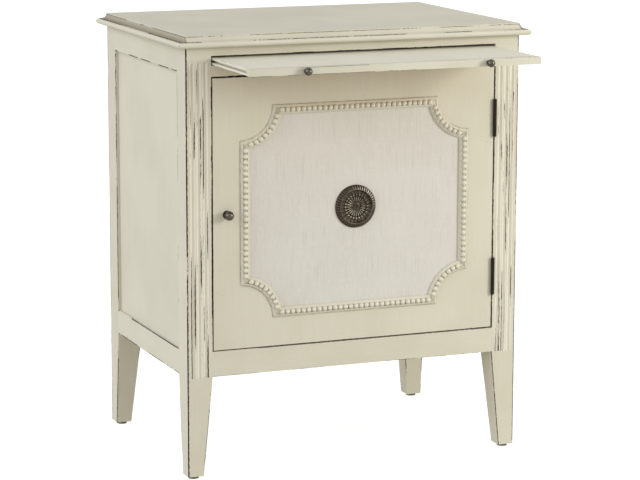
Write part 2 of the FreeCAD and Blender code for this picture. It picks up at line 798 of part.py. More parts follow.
def corner_moulding(x, z, degrees):
    """A quarter-round length about the frame's corner, mitred at both tips."""
    body = doc.addObject("PartDesign::Body", "moulding")
    sketch = sketch_on(body, "XZ_Plane")
    close_outline(sketch, moulding_profile("notch_radius"))
    revolve(body, sketch, 90)
    tip = [("notch_radius", "0"), ("notch_radius + 2 * mitre_slope * moulding_width", "2 * moulding_width"),
           ("notch_radius + 4 * moulding_width", "2 * moulding_width"),
           ("notch_radius + 4 * moulding_width", "0")]
    ends = sketch_on(body, "XY_Plane")
    close_outline(ends, tip)
    close_outline(ends, [(across, along) for along, across in reversed(tip)])
    pocket(body, ends)
    radius = number("notch_radius + pearl_line")
    end_gap = number("pearl_radius * sqrt(1 + mitre_slope^2)")
    first = math.asin(number("pearl_line") / radius) + math.asin(end_gap / radius)
    step = number("pearl_pitch") / radius
    count = math.floor((math.pi / 2 - 2 * first) / step) + 1
    angles = [math.pi / 4 + (index - (count - 1) / 2) * step for index in range(count)]
    places = [(radius * math.cos(angle), radius * math.sin(angle)) for angle in angles]
    return beaded(body, places, x, z, degrees)


def pearl_frame():
    """Four straight lengths and four notched corners that close round the linen."""
    low, high = "door_mid - frame_half_height", "door_mid + frame_half_height"
    node(straight_moulding("frame_half_width", "0", low, 0), "bottom_moulding")
    node(straight_moulding("frame_half_height", "frame_half_width", "door_mid", 90), "right_moulding")
    node(straight_moulding("frame_half_width", "0", high, 180), "top_moulding")
    node(straight_moulding("frame_half_height", "-frame_half_width", "door_mid", 270), "left_moulding")
    corners = (("-frame_half_width", low), ("frame_half_width", low),
               ("frame_half_width", high), ("-frame_half_width", high))
    node(group([corner_moulding(*spot, 90 * step) for step, spot in enumerate(corners)]), "corner_mouldings")


def medallion():
    """A dished disc with a raised, sloping rim, and on its floor a rosette of petals round a button."""
    outline = [("medallion_radius", "0"), ("medallion_radius", "rim_wall"),
               ("shoulder_radius", "shoulder_height"), ("crest_radius", "crest_height"),
               ("dish_radius", "dish_floor")]
    dish = doc.addObject("Part::Feature", "dish")
    dish.Shape = facets([(number(radius), number(height)) for radius, height in outline], DISH_SIDES)
    body = doc.addObject("PartDesign::Body", "rosette")
    sketch = sketch_on(body, "XZ_Plane")
    close_outline(sketch, [
        ("0", "rim_wall"), ("rosette_radius", "rim_wall"), ("rosette_radius", "rosette_height"),
        ("button_radius", "rosette_height"), ("button_radius", "button_height"), ("0", "button_height"),
    ])
    revolve(body, sketch, 360)
    leaf = sketch_on(body, "XY_Plane", "dish_floor")
    root, shoulder = "button_radius - petal_root", "rosette_radius - 2 * petal_tip"
    tip = "rosette_radius - petal_root"
    close_outline(leaf, [(root, "-petal_root"), (shoulder, "-petal_tip"), (tip, "0"),
                         (shoulder, "petal_tip"), (root, "petal_root")])
    petal = pad(body, leaf, "petal_height - dish_floor")
    ring = body.newObject("PartDesign::PolarPattern", "ring")
    ring.Originals = [petal]
    ring.Axis = (origin_part(body, "Z_Axis"), [""])
    ring.setExpression("Occurrences", formula("petal_count"))
    body.Tip = ring
    for item in (dish, body):
        place(item, "0", "bed_y", "door_mid", UPRIGHT)
    node(fuse([dish, body]), "medallion")


def knob(name, x, y, z):
    """A ball knob on a rose, turned in flat facets, with the stud that holds it."""
    radius, centre, neck = number(f"{name}_radius"), number(f"{name}_centre"), number(f"{name}_neck_radius")
    rose, rose_height = number(f"{name}_rose_radius"), number(f"{name}_rose_height")
    start = -math.acos(neck / radius)
    step = (math.pi / 2 - start) / BALL_FLATS
    outline = [(rose, 0), (rose, rose_height)]
    for flat in range(BALL_FLATS):
        angle = start + flat * step
        outline.append((radius * math.cos(angle), centre + radius * math.sin(angle)))
    outline.append((radius * math.sin(step / 2), centre + radius))
    turned = doc.addObject("Part::Feature", name)
    turned.Shape = facets(outline, KNOB_SIDES)
    place(turned, x, y, z, UPRIGHT)
    return fuse([turned, stud(x, y, z)])


# Tray

def tray():
    """A thin board grooved for its runners, with a solid strip, two knobs and two stop blocks."""
    z = ("tray_bottom", "tray_top")
    x = about("0", "tray_half")
    strip_back = "tray_front + strip_depth"
    grooves = []
    for side, _ in SIDES:
        groove_x = span(side, "tray_half - tray_groove_depth", "tray_half")
        groove_z = about("tray_mid", "tray_groove_height / 2")
        grooves.append(block(groove_x, (strip_back, "tray_back"), groove_z))
    node(cut(block(x, (strip_back, "tray_back"), z), grooves), "tray_board")
    stop_front = "front_y + rail_thickness + spare_reach"
    stop_y = (stop_front, f"{stop_front} + stop_depth")
    stop_z = ("tray_top", "tray_top + stop_height")
    stops = [block(about(f"{side} * stop_spread", "stop_width / 2"), stop_y, stop_z) for side, _ in SIDES]
    node(group(stops), "tray_stop_blocks")
    knob_places = [f"{side} * (tray_half - tray_knob_inset)" for side, _ in SIDES]
    holes = [stud(spot, "tray_front", "tray_mid", "screw_gap", "joint_gap") for spot in knob_places]
    node(cut(block(x, ("tray_front", strip_back), z), holes), "tray_front_strip")
    node(group([knob("tray_knob", spot, "tray_front", "tray_mid") for spot in knob_places]), "tray_knobs")


def build():
    """Make every sub-part of the table."""
    moulded_top()
    for end, end_name in ENDS:
        for side, side_name in SIDES:
            post(side, side_name, end, end_name)
    for rail in CROSS_RAILS:
        cross_rail(*rail)
    for side, side_name in SIDES:
        for rail_name, heights in SIDE_RAILS:
            side_rail(side, f"{side_name}_{rail_name}", heights)
        tray_runner(side, side_name)
        top_cleat(side, side_name)
    recessed_panels()
    grooved_board("cabinet_floor", ("floor_bottom", "floor_top"))
    grooved_board("dust_panel", ("deck_bottom", "deck_top"))
    loose_shelf()
    glides()
    hinges()
    catch()
    door_panel()
    pearl_frame()
    medallion()
    node(knob("knob", "knob_inset - door_half", "front_y", "door_mid"), "door_knob")
    tray()


def check():
    """Stop if any object failed, or if a sub-part has no sound solid."""
    for item in doc.Objects:
        if "Invalid" in item.State or "Error" in item.State:
            raise RuntimeError(f"{item.Label} ({item.TypeId}) failed: {item.State}")
    for item in nodes:
        if item.Shape.isNull() or not item.Shape.isValid() or not item.Shape.Solids:
            raise RuntimeError(f"{item.Label} has no valid solid")


build()
doc.recompute()
check()
os.makedirs("parts", exist_ok=True)
for part in nodes:
    part.Shape.exportStep(f"parts/{part.Label}.step")
    box = part.Shape.BoundBox
    print(f"{part.Label}: {len(part.Shape.Solids)} solids, x {box.XMin:.1f} {box.XMax:.1f},"
          f" y {box.YMin:.1f} {box.YMax:.1f}, z {box.ZMin:.1f} {box.ZMax:.1f}")
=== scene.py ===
"""Looks of a storage side table with a door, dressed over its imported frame.

A cream-painted cabinet, rubbed through along its edges, with a pull-out tray, a door that carries a
pearl moulding round a linen panel, a bronze rosette, round knobs and two butt hinges. Lengths are in
metres, in the frame's own axes: X to the right, -Y to the front, Z up.
"""

import json
import logging
import math
from collections.abc import Callable, Iterable
from dataclasses import dataclass
from enum import Enum

import bpy
import numpy as np
from mathutils import Euler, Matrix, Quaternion, Vector

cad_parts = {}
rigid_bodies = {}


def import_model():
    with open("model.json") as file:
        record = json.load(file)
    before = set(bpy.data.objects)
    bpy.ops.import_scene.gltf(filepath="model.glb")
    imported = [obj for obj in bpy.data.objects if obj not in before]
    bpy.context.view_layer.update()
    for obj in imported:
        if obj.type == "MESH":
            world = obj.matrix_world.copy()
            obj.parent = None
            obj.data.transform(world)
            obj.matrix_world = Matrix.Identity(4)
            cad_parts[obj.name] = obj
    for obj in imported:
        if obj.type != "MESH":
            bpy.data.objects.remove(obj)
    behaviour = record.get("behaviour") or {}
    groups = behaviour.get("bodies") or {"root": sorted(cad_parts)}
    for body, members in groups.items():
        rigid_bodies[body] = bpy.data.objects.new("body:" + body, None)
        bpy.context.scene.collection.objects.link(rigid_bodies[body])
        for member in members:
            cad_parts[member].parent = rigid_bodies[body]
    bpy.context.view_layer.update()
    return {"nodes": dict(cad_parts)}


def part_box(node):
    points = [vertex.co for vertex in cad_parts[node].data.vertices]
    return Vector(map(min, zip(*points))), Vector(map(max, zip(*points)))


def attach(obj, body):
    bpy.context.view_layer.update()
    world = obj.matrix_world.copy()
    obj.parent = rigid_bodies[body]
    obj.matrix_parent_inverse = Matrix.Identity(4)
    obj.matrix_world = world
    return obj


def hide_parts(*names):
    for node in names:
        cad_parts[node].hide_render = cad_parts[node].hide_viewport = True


for leftover in list(bpy.data.objects):
    bpy.data.objects.remove(leftover)
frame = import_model()

LOG = logging.getLogger("side_table")
MM = 0.001
FAR = 9.0
PANEL_HALF = (212.2 * MM, 183.45 * MM)
PANEL_NOTCH = 59.0 * MM
PANEL_MIDDLE = 456.75 * MM
PANEL_FACE = -124.15 * MM

Pair = tuple[float, float]
Point = tuple[float, float, float]
Tone = tuple[float, float, float, float]
Socket = bpy.types.NodeSocket
Value = Socket | float | tuple | None
Builder = Callable[[], bpy.types.NodeTree]
WHITE: Tone = (1.0, 1.0, 1.0, 1.0)
CLOUD_ENDS: Pair = (0.35, 0.65)


def tone(red: int, green: int, blue: int) -> Tone:
    """A screen colour as the linear light that a shader takes, by the sRGB curve.

    Args:
        red: from 0 to 255, as are green and blue.
    Returns:
        Linear red, green and blue, and full opacity.
    """
    shares = np.array([red, green, blue]) / 255.0
    light = np.where(shares <= 0.04045, shares / 12.92, ((shares + 0.055) / 1.055) ** 2.4)
    return (*light.tolist(), 1.0)


def rotated(x: np.ndarray, y: np.ndarray, angle: float) -> tuple[np.ndarray, np.ndarray]:
    """Turns plane points counter-clockwise about the origin: x cos - y sin, and x sin + y cos."""
    return x * math.cos(angle) - y * math.sin(angle), x * math.sin(angle) + y * math.cos(angle)


def grid_quads(rows: int, columns: int, wrap: bool = False) -> np.ndarray:
    """The four-sided faces of a grid of points that are numbered row by row.

    Args:
        rows: how many rows of points there are.
        columns: how many points a row has.
        wrap: whether each row closes on itself.
    Returns:
        One line of four point numbers for each face.
    """
    row, column = np.meshgrid(
        np.arange(rows - 1), np.arange(columns if wrap else columns - 1), indexing="ij"
    )
    here = row * columns + column
    beside = row * columns + (column + 1) % columns
    return np.stack([here, beside, beside + columns, here + columns], axis=-1).reshape(-1, 4)


def shown(name: str, data: bpy.types.ID) -> bpy.types.Object:
    """Puts a mesh, a light or a camera into the scene.

    Args:
        name: the object's name.
        data: what it holds.
    Returns:
        The object.
    """
    made = bpy.data.objects.new(name, data)
    bpy.context.scene.collection.objects.link(made)
    return made


@dataclass
class Surface:
    """Points of a closed surface, its faces, and how high each point stands in the relief.

    The faces come in blocks, each an array with one line of point numbers for each face.
    """

    points: np.ndarray
    faces: list[np.ndarray]
    relief: np.ndarray

    @classmethod
    def joined(cls, surfaces: "Iterable[Surface]") -> "Surface":
        """Puts several surfaces into one, each with its own faces.

        Args:
            surfaces: the surfaces, in order.
        Returns:
            One surface that holds them all.
        """
        points, faces, relief, count = [], [], [], 0
        for surface in surfaces:
            points.append(surface.points)
            relief.append(surface.relief)
            faces += [block + count for block in surface.faces]
            count += len(surface.points)
        return cls(np.concatenate(points), faces, np.concatenate(relief))

    @classmethod
    def turned(cls, rings: np.ndarray, relief: np.ndarray) -> "Surface":
        """Closes a stack of rings with a pole at each end.

        Args:
            rings: ring by ring from the foot, each ring's points counter-clockwise about the axis.
            relief: how high each point stands, ring by ring.
        Returns:
            The closed surface; its poles lie at the middle of the first and the last ring.
        """
        count, around = rings.shape[:2]
        body = rings.reshape(-1, 3)
        points = np.concatenate([body, rings[0].mean(axis=0)[None], rings[-1].mean(axis=0)[None]])
        here = np.arange(around)
        beside = (here + 1) % around
        foot, head = len(body), len(body) + 1
        last = (count - 1) * around
        under = np.stack([np.full(around, foot), beside, here], axis=-1)
        over = np.stack([last + here, last + beside, np.full(around, head)], axis=-1)
        heights = np.concatenate([relief.reshape(-1), [relief[0].mean(), relief[-1].mean()]])
        return cls(points, [grid_quads(count, around, wrap=True), under, over], heights)

    @classmethod
    def swept(cls, stations: np.ndarray, relief: np.ndarray) -> "Surface":
        """Closes a profile that is carried along a path, with a flat face at each end.

        Args:
            stations: for each stop on the path, the profile's points in order.
            relief: how high each point of the profile stands.
        Returns:
            The closed surface.
        """
        stops, around = stations.shape[:2]
        first = np.arange(around)[None, ::-1]
        last = np.arange(around)[None] + (stops - 1) * around
        faces = [grid_quads(stops, around, wrap=True), first, last]
        return cls(stations.reshape(-1, 3), faces, np.tile(relief, stops))

    def facing_front(self, x: float, y: float, z: float, angle: float = 0.0) -> "Surface":
        """Stands the surface on a plane that faces -Y.

        Args:
            x: where the origin goes, with y and z.
            angle: how far the surface is first turned in its own plane.
        Returns:
            The same surface, its own x and y along X and Z, and its height along -Y.
        """
        across, up = rotated(self.points[:, 0], self.points[:, 1], angle)
        placed = np.stack([x + across, y - self.points[:, 2], z + up], axis=-1)
        return Surface(placed, self.faces, self.relief)

    def piece(self, name: str, crease: float = 40.0) -> bpy.types.Object:
        """Makes the Blender object.

        Args:
            name: the piece's name.
            crease: the angle in degrees above which an edge stays sharp.
        Returns:
            The object, at the origin, with the relief kept on its points.
        """
        mesh = bpy.data.meshes.new(name)
        faces = [face for block in self.faces for face in block.tolist()]
        mesh.from_pydata(self.points.tolist(), [], faces)
        heights = mesh.attributes.new("relief", "FLOAT", "POINT")
        heights.data.foreach_set("value", self.relief.astype(np.float32))
        mesh.polygons.foreach_set("use_smooth", np.ones(len(faces), dtype=bool))
        mesh.set_sharp_from_angle(angle=math.radians(crease))
        return shown(name, mesh)


def polar(stops: np.ndarray, around: int) -> tuple[np.ndarray, np.ndarray]:
    """A polar grid, ring by ring.

    Args:
        stops: the radius of each ring.
        around: how many points a ring has.
    Returns:
        The radius of each point, and the way round to it.
    """
    angle = np.linspace(0.0, 2.0 * math.pi, around, endpoint=False)
    radius, turn = np.meshgrid(stops, angle, indexing="ij")
    return radius, turn


def lathe(profile: np.ndarray, around: int) -> Surface:
    """A profile turned about its height axis: (r cos a, r sin a, h).

    Args:
        profile: radius and height of each ring, from the foot up.
        around: how many points a ring has.
    Returns:
        The closed surface; its relief is the height as a share of the whole.
    """
    radius, turn = polar(profile[:, 0], around)
    height = np.repeat(profile[:, 1:], around, axis=1)
    rings = np.stack([radius * np.cos(turn), radius * np.sin(turn), height], axis=-1)
    return Surface.turned(rings, height / profile[:, 1].max())


def arc(centre: Pair, size: Pair, start: float, end: float, count: int) -> np.ndarray:
    """Points along an ellipse's arc: the centre plus (a cos t, b sin t).

    Args:
        centre: the ellipse's middle.
        size: its two half-axes.
        start: first angle in degrees.
        end: last angle in degrees.
        count: how many points.
    Returns:
        One line of two numbers for each point.
    """
    angle = np.radians(np.linspace(start, end, count))
    return np.stack([centre[0] + size[0] * np.cos(angle), centre[1] + size[1] * np.sin(angle)], axis=-1)


class Bench:
    """Places shader nodes in one tree and joins them."""

    def __init__(self, tree: bpy.types.NodeTree) -> None:
        """Takes the tree to work on."""
        self.tree = tree

    def feed(self, node: bpy.types.Node, inputs: dict[str | int, Value]) -> None:
        """Gives a node its inputs.

        Args:
            node: the node.
            inputs: for each input's name or place, a socket to link or a value to set.
        """
        for key, value in inputs.items():
            if isinstance(value, bpy.types.NodeSocket):
                self.tree.links.new(value, node.inputs[key])
            elif value is not None:
                node.inputs[key].default_value = value

    def add(self, kind: str, inputs: dict[str | int, Value], **settings: object) -> bpy.types.Node:
        """Adds one node.

        Args:
            kind: Blender's own name for the node.
            inputs: what each of its inputs gets.
            settings: the node's settings.
        Returns:
            The node.
        """
        node = self.tree.nodes.new(kind)
        for setting, value in settings.items():
            setattr(node, setting, value)
        self.feed(node, inputs)
        return node

    def math(self, operation: str, first: Value, second: Value = None, clamp: bool = False) -> Socket:
        """The result of a sum on two numbers."""
        settings = {"operation": operation, "use_clamp": clamp}
        return self.add("ShaderNodeMath", {0: first, 1: second}, **settings).outputs[0]

    def plus(self, first: Value, second: Value, clamp: bool = False) -> Socket:
        """Two numbers added up."""
        return self.math("ADD", first, second, clamp)

    def minus(self, first: Value, second: Value, clamp: bool = False) -> Socket:
        """The first number less the second."""
        return self.math("SUBTRACT", first, second, clamp)

    def times(self, first: Value, second: Value) -> Socket:
        """Two numbers multiplied."""
        return self.math("MULTIPLY", first, second)

    def least(self, first: Value, second: Value) -> Socket:
        """The lesser of two numbers."""
        return self.math("MINIMUM", first, second)

    def most(self, first: Value, second: Value) -> Socket:
        """The greater of two numbers."""
        return self.math("MAXIMUM", first, second)

    def size(self, value: Value) -> Socket:
        """A number without its sign."""
        return self.math("ABSOLUTE", value)

    def beyond(self, value: Value, limit: Value) -> Socket:
        """How far a number is past a limit, or nothing."""
        return self.most(self.minus(value, limit), 0.0)

    def vector(self, operation: str, first: Value, second: Value = None) -> Socket:
        """The result of a sum on two vectors."""
        return self.add("ShaderNodeVectorMath", {0: first, 1: second}, operation=operation).outputs[0]

    def split(self, vector: Socket) -> tuple[Socket, Socket, Socket]:
        """The three numbers of a vector."""
        return tuple(self.add("ShaderNodeSeparateXYZ", {0: vector}).outputs)

    def ramp(self, value: Value, low: Value, high: Value, start: Value = 0.0, end: Value = 1.0) -> Socket:
        """Carries a number from low..high to start..end, with a smooth start and end."""
        inputs = {"Value": value, "From Min": low, "From Max": high, "To Min": start, "To Max": end}
        return self.add("ShaderNodeMapRange", inputs, interpolation_type="SMOOTHSTEP").outputs[0]

    def noise(self, point: Socket, scale: Value, detail: float = 2.0, seed: Value = 0.0) -> Socket:
        """Cloudy noise from 0 to 1 at a point; another seed gives another cloud."""
        inputs = {"Vector": point, "W": seed, "Scale": scale, "Detail": detail}
        return self.add("ShaderNodeTexNoise", inputs, noise_dimensions="4D").outputs[0]

    def mix(self, share: Value, first: Value, second: Value) -> Socket:
        """A colour between two others."""
        return self.add("ShaderNodeMix", {0: share, 6: first, 7: second}, data_type="RGBA").outputs[2]

    def relief(self) -> Socket:
        """How high the piece's own relief is at a point."""
        return self.add("ShaderNodeAttribute", {}, attribute_name="relief").outputs["Fac"]

    def group(self, builder: Builder, inputs: dict[str | int, Value]) -> bpy.types.Node:
        """A node that holds one of the shared groups."""
        return self.add("ShaderNodeGroup", inputs, node_tree=SharedShaders.kept(builder))


class MaterialBench(Bench):
    """The bench of one new material, with its shader and the piece's own coordinates."""

    def __init__(self, name: str) -> None:
        """Starts the material.

        Args:
            name: the material's name.
        """
        self.material = bpy.data.materials.new(name)
        self.material.use_nodes = True
        super().__init__(self.material.node_tree)
        self.shader = self.tree.nodes["Principled BSDF"]
        self.point = self.add("ShaderNodeTexCoord", {}).outputs["Object"]

    def finished(self, inputs: dict[str, Value], height: Socket, depth: float) -> bpy.types.Material:
        """Feeds the shader, and lets a height ripple its normal.

        Args:
            inputs: what the shader's inputs get.
            height: the ripples.
            depth: how deep they are.
        Returns:
            The material.
        """
        bump = self.add("ShaderNodeBump", {"Strength": 1.0, "Distance": depth, "Height": height})
        self.feed(self.shader, {**inputs, "Normal": bump.outputs[0]})
        return self.material


class SharedShaders:
    """The shader groups that several materials use; each is built the first time it is asked for."""

    built: dict[str, bpy.types.NodeTree] = {}

    @staticmethod
    def start(
        name: str, inputs: dict[str, str], outputs: dict[str, str]
    ) -> tuple[Bench, dict[str, Socket], bpy.types.Node]:
        """Begins a group.

        Args:
            name: the group's name.
            inputs: for each input its kind, Float, Vector or Color.
            outputs: the same for the outputs.
        Returns:
            The bench, the inputs' sockets by name, and the node that the results go to.
        """
        tree = bpy.data.node_groups.new(name, "ShaderNodeTree")
        for side, sockets in (("INPUT", inputs), ("OUTPUT", outputs)):
            for socket, kind in sockets.items():
                tree.interface.new_socket(name=socket, in_out=side, socket_type=f"NodeSocket{kind}")
        entry = tree.nodes.new("NodeGroupInput")
        exit_node = tree.nodes.new("NodeGroupOutput")
        return Bench(tree), {socket: entry.outputs[socket] for socket in inputs}, exit_node

    @classmethod
    def kept(cls, builder: Builder) -> bpy.types.NodeTree:
        """Gives a group, and builds it if it isn't there yet.

        Args:
            builder: the method that builds it.
        Returns:
            The group.
        """
        name = builder.__name__
        if name not in cls.built:
            cls.built[name] = builder()
        return cls.built[name]

    @classmethod
    def edge_gap(cls) -> bpy.types.NodeTree:
        """How far a point on a leaning box is from the nearest edge.

        The gap to the nearer face is taken along each axis; the middle one of the three is the way to
        the edge, because the smallest is nothing on the face itself.

        Returns:
            The group.
        """
        inputs = {"Point": "Vector", "Low": "Vector", "High": "Vector", "Lean Low": "Vector",
                  "Lean High": "Vector", "Lean Top": "Float"}
        bench, given, leave = cls.start("edge_gap", inputs, {"Gap": "Float"})
        drop = bench.beyond(given["Lean Top"], bench.split(given["Point"])[2])
        drops = bench.add("ShaderNodeCombineXYZ", {0: drop, 1: drop, 2: drop}).outputs[0]
        gaps = []
        for corner, lean in (("Low", "Lean Low"), ("High", "Lean High")):
            moved = bench.vector("ADD", given[corner], bench.vector("MULTIPLY", given[lean], drops))
            gaps.append(bench.vector("ABSOLUTE", bench.vector("SUBTRACT", given["Point"], moved)))
        across, deep, high = bench.split(bench.vector("MINIMUM", *gaps))
        lesser, greater = bench.least(across, deep), bench.most(across, deep)
        bench.feed(leave, {"Gap": bench.most(lesser, bench.least(greater, high))})
        return bench.tree

    @classmethod
    def flute_gap(cls) -> bpy.types.NodeTree:
        """How far a point on a post's front is from the nearest lip of three even flutes.

        Each lip ends at a height of its own, as far from the common one as Ragged allows.

        Returns:
            The group.
        """
        inputs = {"Point": "Vector", "Centre": "Float", "Pitch": "Float", "Radius": "Float",
                  "Low": "Float", "High": "Float", "Ragged": "Float"}
        bench, given, leave = cls.start("flute_gap", inputs, {"Gap": "Float", "Inside": "Float"})
        lip_waves = (130.0, 0.0, 0.0)
        across, _, height = bench.split(given["Point"])
        offset = bench.minus(across, given["Centre"])
        nearest = bench.math("ROUND", bench.math("DIVIDE", offset, given["Pitch"]))
        nearest = bench.most(bench.least(nearest, 1.0), -1.0)
        aside = bench.size(bench.minus(offset, bench.times(nearest, given["Pitch"])))
        lip = bench.size(bench.minus(aside, given["Radius"]))
        below = bench.beyond(given["Low"], height)
        sideways = bench.vector("MULTIPLY", given["Point"], lip_waves)
        uneven = bench.minus(bench.noise(sideways, 1.0, 0.0), 0.5)
        end = bench.plus(given["High"], bench.times(uneven, given["Ragged"]))
        past = bench.plus(below, bench.beyond(height, end))
        inside = bench.ramp(bench.plus(aside, past), given["Radius"], 0.0)
        bench.feed(leave, {"Gap": bench.plus(lip, past), "Inside": inside})
        return bench.tree

    @classmethod
    def rubbed_line(cls) -> bpy.types.NodeTree:
        """A broken line of bare wood along an edge.

        Slow noise says where the wood shows; fine dots fray the ends of each stroke and its width.

        Returns:
            The group.
        """
        inputs = {"Point": "Vector", "Gap": "Float", "Width": "Float", "Cut": "Float",
                  "Waves": "Vector", "Seed": "Float"}
        bench, given, leave = cls.start("rubbed_line", inputs, {"Mask": "Float"})
        dot_scale, stroke_end, fray, bare_core, least_reach = 22.0, 0.025, 0.05, 0.7, 1e-6
        dot_ends, dot_reach = (0.2, 0.8), (0.35, 0.6, 0.7, 1.1)
        along = bench.vector("MULTIPLY", given["Point"], given["Waves"])
        slow = bench.noise(along, 1.0, 2.0, given["Seed"])
        dots = bench.noise(along, dot_scale, 1.0, given["Seed"])
        frayed = bench.plus(slow, bench.ramp(dots, *dot_ends, -fray, fray))
        there = bench.ramp(frayed, given["Cut"], bench.plus(given["Cut"], stroke_end))
        reach = bench.times(there, bench.ramp(dots, *dot_reach))
        reach = bench.most(bench.times(reach, given["Width"]), least_reach)
        bench.feed(leave, {"Mask": bench.ramp(given["Gap"], reach, bench.times(reach, bare_core))})
        return bench.tree

    @classmethod
    def paint_film(cls) -> bpy.types.NodeTree:
        """Brushed paint: slow clouds of two tones, streaks along the grain, and a few dark specks.

        Returns:
            The group.
        """
        inputs = {"Point": "Vector", "Streaks": "Vector", "Light": "Color", "Dark": "Color",
                  "Speck": "Color", "Seed": "Float"}
        outputs = {"Color": "Color", "Height": "Float", "Gloss": "Float"}
        bench, given, leave = cls.start("paint_film", inputs, outputs)
        cloud_scale, speck_scale, skin_scale = 7.0, 420.0, 900.0
        cloud_share, streak_share, streak_height, skin_height = 0.4, 0.6, 0.8, 0.2
        smooth, matt, speck_ends = 0.62, 0.67, (0.76, 0.8, 0.0, 0.55)
        cloud = bench.ramp(bench.noise(given["Point"], cloud_scale, 4.0, given["Seed"]), *CLOUD_ENDS)
        stretched = bench.vector("MULTIPLY", given["Point"], given["Streaks"])
        streak = bench.noise(stretched, 1.0, 3.0, given["Seed"])
        share = bench.plus(bench.times(cloud, cloud_share), bench.times(streak, streak_share))
        colour = bench.mix(share, given["Light"], given["Dark"])
        dots = bench.noise(given["Point"], speck_scale, 1.0, given["Seed"])
        colour = bench.mix(bench.ramp(dots, *speck_ends), colour, given["Speck"])
        skin = bench.noise(given["Point"], skin_scale, 2.0)
        height = bench.plus(bench.times(streak, streak_height), bench.times(skin, skin_height))
        gloss = bench.ramp(cloud, 0.0, 1.0, smooth, matt)
        bench.feed(leave, {"Color": colour, "Height": height, "Gloss": gloss})
        return bench.tree

    @classmethod
    def wood_grain(cls) -> bpy.types.NodeTree:
        """Plain sawn wood: long wavering bands and short dark pores, both stretched along the grain.

        Returns:
            The group.
        """
        inputs = {"Point": "Vector", "Streaks": "Vector", "Light": "Color", "Dark": "Color"}
        bench, given, leave = cls.start("wood_grain", inputs, {"Color": "Color", "Height": "Float"})
        band_scale, pore_scale, band_share, pore_ends = 0.22, 2.2, 0.7, (0.62, 0.7)
        stretched = bench.vector("MULTIPLY", given["Point"], given["Streaks"])
        band = bench.ramp(bench.noise(stretched, band_scale, 3.0), *CLOUD_ENDS)
        pore = bench.ramp(bench.noise(stretched, pore_scale, 2.0), *pore_ends)
        share = bench.most(bench.times(band, band_share), pore)
        colour = bench.mix(share, given["Light"], given["Dark"])
        bench.feed(leave, {"Color": colour, "Height": bench.minus(band, pore)})
        return bench.tree

    @classmethod
    def linen_weave(cls) -> bpy.types.NodeTree:
        """Plain weave of uneven threads: two crossed sine ridges, thickened here and there by slubs.

        Returns:
            The group.
        """
        inputs = {"Flat": "Vector", "Pitch": "Float", "Light": "Color", "Dark": "Color"}
        bench, given, leave = cls.start("linen_weave", inputs, {"Color": "Color", "Height": "Float"})
        warp_slubs, weft_slubs, flecks = (620.0, 16.0, 0.0), (20.0, 900.0, 0.0), (800.0, 90.0, 0.0)
        cloud_scale, weft_less, thread_height = 9.0, 0.06, 0.2
        slub_share, cloud_share, thread_share = 0.42, 0.5, -0.03
        slub_ends, fleck_ends = (0.52, 0.72), (0.56, 0.72, 0.0, 0.5)

        def uneven(waves: Point, detail: float, seed: float) -> Socket:
            """Noise with its own waves per metre along and across the threads."""
            return bench.noise(bench.vector("MULTIPLY", given["Flat"], waves), 1.0, detail, seed)

        across, along, _ = bench.split(given["Flat"])
        turns = bench.math("DIVIDE", 2.0 * math.pi, given["Pitch"])
        warp, weft = (bench.math("SINE", bench.times(way, turns)) for way in (across, along))
        threads = bench.most(warp, weft)
        weft_slub = bench.minus(uneven(weft_slubs, 3.0, 2.0), weft_less)
        thick = bench.ramp(bench.most(uneven(warp_slubs, 3.0, 1.0), weft_slub), *slub_ends)
        cloud = bench.noise(given["Flat"], cloud_scale, 3.0, 4.0)
        share = bench.plus(bench.times(thick, slub_share), bench.times(cloud, cloud_share))
        share = bench.plus(share, bench.times(threads, thread_share))
        pale = bench.ramp(uneven(flecks, 1.0, 6.0), *fleck_ends)
        colour = bench.mix(bench.minus(share, pale, clamp=True), given["Light"], given["Dark"])
        height = bench.plus(bench.times(threads, thread_height), thick)
        bench.feed(leave, {"Color": colour, "Height": height})
        return bench.tree

    @classmethod
    def old_metal(cls) -> bpy.types.NodeTree:
        """Darkened metal: slow clouds of tarnish, fine pits, and bright ridges where the relief is high.

        Returns:
            The group.
        """
        inputs = {"Point": "Vector", "Relief": "Float", "Light": "Color", "Dark": "Color",
                  "Smooth": "Float", "Matt": "Float"}
        outputs = {"Color": "Color", "Height": "Float", "Roughness": "Float"}
        bench, given, leave = cls.start("old_metal", inputs, outputs)
        cloud_scale, pit_scale = 160.0, 1500.0
        rub_ends, dull_ends, gloss_ends = (0.3, 0.6, 0.45, 1.0), (0.45, 0.75, 0.0, 0.03), (0.3, 0.7)
        cloud = bench.noise(given["Point"], cloud_scale, 3.0)
        rubbed = bench.times(given["Relief"], bench.ramp(cloud, *rub_ends))
        share = bench.plus(rubbed, bench.ramp(cloud, *dull_ends), clamp=True)
        bench.feed(leave, {
            "Color": bench.mix(share, given["Dark"], given["Light"]),
            "Height": bench.noise(given["Point"], pit_scale, 2.0),
            "Roughness": bench.ramp(cloud, *gloss_ends, given["Smooth"], given["Matt"]),
        })
        return bench.tree


class Grain(Enum):
    """Which axis the brush, the grain or a line runs along."""

    ALONG_X = 0
    ALONG_Y = 1
    ALONG_Z = 2

    def waves(self, along: float, across: float) -> Point:
        """Waves per metre on each axis, few along the grain and many across it."""
        return tuple(along if axis == self.value else across for axis in range(3))

    def streaks(self) -> Point:
        """The waves of a brush stroke or a grain line."""
        return self.waves(along=14.0, across=420.0)


